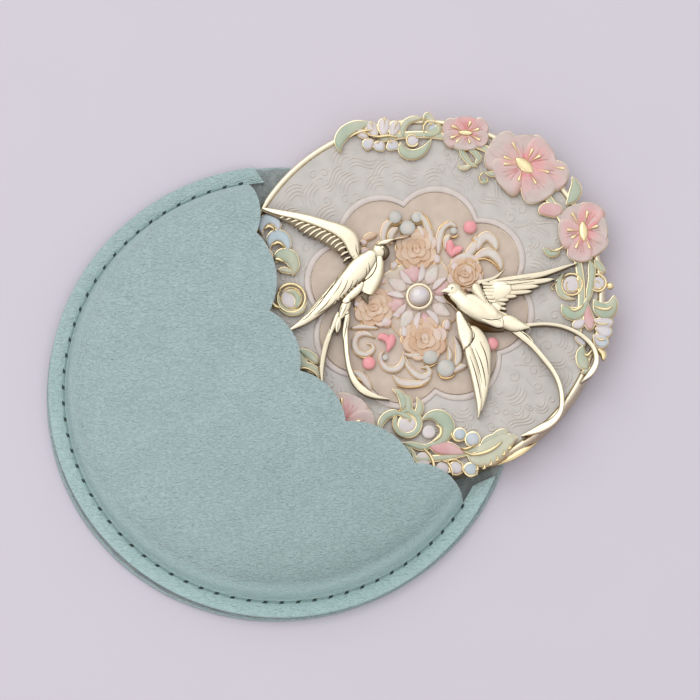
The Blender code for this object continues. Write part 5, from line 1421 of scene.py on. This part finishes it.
def build_left_swallow():
    bird = Casting()
    stroke = bird.stroke
    tips, _ = smooth([(280, 222.5), (290, 226), (296.8, 232.5), (304.5, 239.5), (314.5, 243), (325, 247.5),
        (333, 251.5), (339.5, 256), (344.5, 265)], 15, False)
    roots, _ = smooth([(296, 219.5), (305, 223), (315, 226), (323, 229.5), (331, 233.5), (338, 238),
        (344, 243.5), (348.5, 251), (352.5, 260)], 15, False)
    # Dark ground under the comb and feathers darkened along both sides: painted shade in the slots
    stroke([(266, 213.6, 1.2), (281, 218, 3.2), (296, 223, 5.4), (311, 229, 8), (326, 236, 9),
        (338, 245, 7.6), (346, 256, 5)], 0, 0.16, 0.12, 0.8, "flat", tip=(0, 0.2))
    for root, tip in zip(roots, tips):
        root, tip = np.array(root), np.array(tip)
        stroke(blade(root, root + (tip - root) * 0.86, 1.55, 0.10), 0.06, 0.46, 0.1, section="dome",
            tip=(0, 0.3), rim=0.9, samples=16)
    stroke([(265.2, 211.8, 0.8), (282, 216.2, 2.9), (299, 219.6, 3.6), (314, 223.6, 4.5), (328, 228.4, 5.2),
        (342, 234, 6.8), (351.5, 241.4, 8), (355.6, 253, 6), (358.5, 264, 3)], 0.22,
        (0.30, 0.38, 0.44, 0.5, 0.56, 0.6, 0.6, 0.54, 0.4), 0.30, samples=56, cross=13, section="right slab",
        tip=(0.03, 0.1), rim=(0, 0.25))

    stroke([(370, 258, 6), (361, 268, 9), (350, 281, 9), (338, 294, 8.6), (324, 308, 7), (309, 321.5, 4.4),
        (292.6, 331.6, 0.8)], 0.02, (0.5, 0.5, 0.5, 0.5, 0.46, 0.4, 0.3), 0.2, samples=50, cross=11,
        section="slab", tip=(0.1, 0), rim=(0.6, 0))
    stroke([(366, 284, 2), (360, 292, 4.4), (352, 299, 4), (344, 305, 1.4)], 0.16, 0.56, 0.2, section="slab",
        tip=(0.15, 0.1), rim=(0.6, 0))
    # The breast a little darker: painted shade
    stroke([(380, 256, 4.4), (379.2, 266, 7), (376.4, 277, 8.6), (371.6, 288, 8.2), (368.2, 296.5, 6.2)],
        0.04, (0.6, 0.74, 0.80, 0.74, 0.64), 0.2, 0.15, "left slab", 34, 13, tip=(0.15, 0.05), rim=(0, 0.1))
    # A dark triangle at the breast's foot: painted shade
    stroke([(366.8, 297, 4.4), (368, 301, 2.6), (370, 306, 0.4)], 0, 0.3, 0.2, 0.85, "soft")
    stroke([(376.5, 253.5, 4.4), (371.5, 261, 8.4), (363, 270, 11), (353.5, 280, 10.2), (343, 291.5, 8.6),
        (331, 303.5, 6.4), (320, 313, 3.4), (313.5, 318.4, 0.8)], 0.36,
        (0.42, 0.58, 0.66, 0.66, 0.54, 0.40, 0.30, 0.2), 0.2, samples=56, cross=15, section="slab",
        tip=(0.08, 0.03), rim=(0.5, 0.1))
    for x, y in (
            (366, 282.5), (361.5, 285.5), (357, 288.5), (353, 291.5), (350, 294.5), (346, 298), (342.5, 301),
            (339.5, 303.5)):
        bird.disc((x, y), 1.3, 0.62, 0.10, 0.25, 0.9, rings=3, steps=12)
    for knots, z in (
            ([(351, 301, 3.6), (348, 308, 5.4), (345, 315, 4.6), (342, 322.5, 1)], 0.36),
            ([(350, 313, 2.4), (349, 323, 3.2), (347, 333, 2.8), (345.5, 342, 1)], 0.22),
            ([(342, 319, 2), (340.2, 328, 3.4), (339.4, 335.5, 1)], 0.26),
            ([(341, 314, 2), (337.5, 323, 3), (334, 332, 2.6), (331, 341, 1)], 0.16)):
        stroke(knots, z, 0.5, 0.12, section="slab", tip=(0.15, 0.2), rim=0.7, cross=11)
    # The head, darker toward its rim, and a dark mask on the face: painted shade
    bird.disc((381.6, 252.8), lambda turn: 7.6 + 0.5 * math.sin(turn), 0.46, 0.60, 0.1, (0, 0, 0.3), rings=8,
        steps=40, section="soft")
    stroke([(377.5, 248.5, 0.8), (383.5, 250, 2.8), (387.6, 254.5, 3.6), (387.4, 259, 2.8),
        (385.5, 263.5, 0.6)], 0.58, 0.50, 0.1, (0.7, 1), "soft", 26, 11)
    stroke([(378.5, 248.6, 0.8), (383, 246.4, 2.2), (387.5, 245.4, 2.8), (391, 244.2, 1.8),
        (397, 242.4, 0.4)], 0.64, 0.48, 0.1, section="slab", tip=(0.1, 0), rim=(0, 0.6))
    bird.disc((384.2, 251.2), 1.5, 1.10, 0.10, 0.08, rings=3, steps=16)
    stroke([(392, 244, 0.6), (399, 241.4, 0.8), (406, 240.4, 0.7), (412, 237.6, 0.3)], 0.2, 0.4, 0.1)
    stroke([(334, 331, 2.4), (331.4, 338.5, 3), (328.8, 346, 3), (326.2, 357.5, 2.8), (324.6, 370, 2.4),
        (325, 386, 0.8)], 0.1, 0.62, 0.12, samples=40, section="right slab", rim=(0.8, 0))
    stroke([(347.4, 328, 3), (347.6, 339, 2.7), (348.8, 356, 2.4), (351.8, 371.5, 2.8), (357.8, 384, 3.8),
        (367.5, 392.8, 3.8), (379, 397.8, 2.2), (391, 399.8, 0.4)], 0.1, 0.64, 0.12, samples=56, **QUILL)
    plumes = [(0.42, [(x, y), ((x + u) / 2 + 0.9, (y + v) / 2 + 0.5), (u, v)]) for x, y, u, v in (
        (340.5, 279, 330, 295.5), (345.5, 280.5, 335.5, 298), (350.5, 282.5, 341.5, 299.5),
        (355.5, 283.5, 348, 296), (335, 287.5, 321, 304), (330, 296, 312, 316.5), (334, 300, 320, 315),
        (339, 301.5, 329, 311), (325, 299, 308, 318), (360, 282.5, 354.5, 290), (316, 313, 303, 324))]
    # Dark draped lines between plumes and feathers: painted shade
    bird.drape(plumes + [
        (0.50, [(377, 258), (378.6, 267), (375.5, 275.5), (369.8, 281.5), (362, 286)]),
        (0.40, [(370.5, 266.5), (371.5, 272), (371, 277)]), (0.35, [(368, 271), (368.5, 276), (367, 280)]),
        (0.55, [(343.5, 305), (349, 305.8), (354.5, 303)]),
        (0.50, [(346.5, 317.6), (349, 316.8), (351.5, 315)]),
        (0.36, [(349.5, 306.5), (347, 312.5), (343.5, 319)]),
        (0.36, [(345.5, 307), (343.5, 312), (342, 317)]), (0.40, [(340.5, 324), (340.2, 330), (339.6, 335)]),
        (0.40, [(337, 320), (334, 328), (331.5, 336)]), (0.40, [(349.5, 320), (348.5, 329), (346.5, 338)]),
        (0.42, [(358, 248), (358.5, 254), (361, 260)]), (0.40, [(345, 262), (351, 262), (357, 259)])])
    bird.build("left_swallow_gold", "plated_gold", "left_swallow", sharp=50)


# Stage

# The floor's colour as the camera sees it
FLOOR = (214, 208.5, 219)


def build_floor():
    look = Look("backdrop", Roughness=0.75, Specular_IOR_Level=0.2)
    look.colour(look.mix(look.noise(30, 2), linear(214, 208, 219), linear(217, 211, 222)))
    mesh = bpy.data.meshes.new("floor")
    size, below = 1.6, -0.00002
    corners = [(x * size, y * size, below) for x, y in ((-1, -1), (1, -1), (1, 1), (-1, 1))]
    mesh.from_pydata(corners, [], [(0, 1, 2, 3)])
    mesh.materials.append(look.material)
    ground = bpy.data.objects.new("floor", mesh)
    bpy.context.scene.collection.objects.link(ground)


def build_world():
    """A dome that is brighter overhead; the camera alone sees the floor's colour instead."""
    sky = bpy.data.worlds.new("studio")
    sky.use_nodes = True
    tree = sky.node_tree
    back = tree.nodes["Background"]
    ray, split, ramp, seen, level = (tree.nodes.new(f"ShaderNode{kind}") for kind in (
        "TexCoord", "SeparateXYZ", "ValToRGB", "LightPath", "Mix"))
    level.data_type = "RGBA"
    level.inputs[COLOUR_B].default_value = (*linear(*FLOOR), 1)
    for source, goal in (
            (ray.outputs["Generated"], split.inputs[0]), (split.outputs["Z"], ramp.inputs["Fac"]),
            (seen.outputs["Is Camera Ray"], level.inputs[FACTOR]),
            (ramp.outputs["Color"], level.inputs[COLOUR_A]),
            (level.outputs[MIXED], back.inputs["Color"])):
        tree.links.new(source, goal)
    stops = ramp.color_ramp.elements
    for at, grey in ((0.35, 0.60), (0.75, 0.84)):
        stops.new(at).color = (grey, grey, grey, 1)
    stops[0].position, stops[-1].position = 0.05, 0.95
    stops[0].color = (0.47, 0.45, 0.43, 1)
    stops[-1].color = (0.95, 0.95, 0.97, 1)
    back.inputs["Strength"].default_value = 1.02
    bpy.context.scene.world = sky


def set_up(name, data, place, turned):
    """A lamp or a camera that looks along a vector."""
    made = bpy.data.objects.new(name, data)
    made.location = place
    made.rotation_mode = "QUATERNION"
    made.rotation_quaternion = turned.to_track_quat("-Z", "Y")
    bpy.context.scene.collection.objects.link(made)
    return made


def build_lights():
    aim = Vector((0.01, 0, 0))
    for name, place, size, power in (("window", (0.02, 0.69, 0.80), 1.10, 2.65),
                                     ("left_fill", (-0.45, -0.06, 0.40), 0.10, 0.14)):
        lamp = bpy.data.lights.new(name, "AREA")
        lamp.shape = "DISK"
        lamp.size = size
        lamp.energy = power
        lamp.color = (1, 0.985, 0.975)
        set_up(name, lamp, place, aim - Vector(place))


def build_camera():
    """The photograph's view: an orthographic one, turned with the mirror."""
    elevation, width, distance = math.radians(76.5), 0.1465, 0.5
    ahead = Matrix.Rotation(TURN, 3, "Z") @ Vector((0, math.cos(elevation), -math.sin(elevation)))
    lens = bpy.data.cameras.new("photo_view")
    lens.type = "ORTHO"
    lens.ortho_scale = width
    lens.clip_start = 0.01
    aim = Vector((0.0170, -0.0008, 0.003))
    bpy.context.scene.camera = set_up("photo_view", lens, aim - ahead * distance, ahead)
    bpy.context.scene.view_settings.view_transform = "Standard"


build_front()
build_back()
build_stitches()
build_tray()
build_rosette()
build_upper_garland()
build_lower_garland()
build_left_swallow()
build_right_swallow()
build_floor()
build_world()
build_lights()
build_camera()
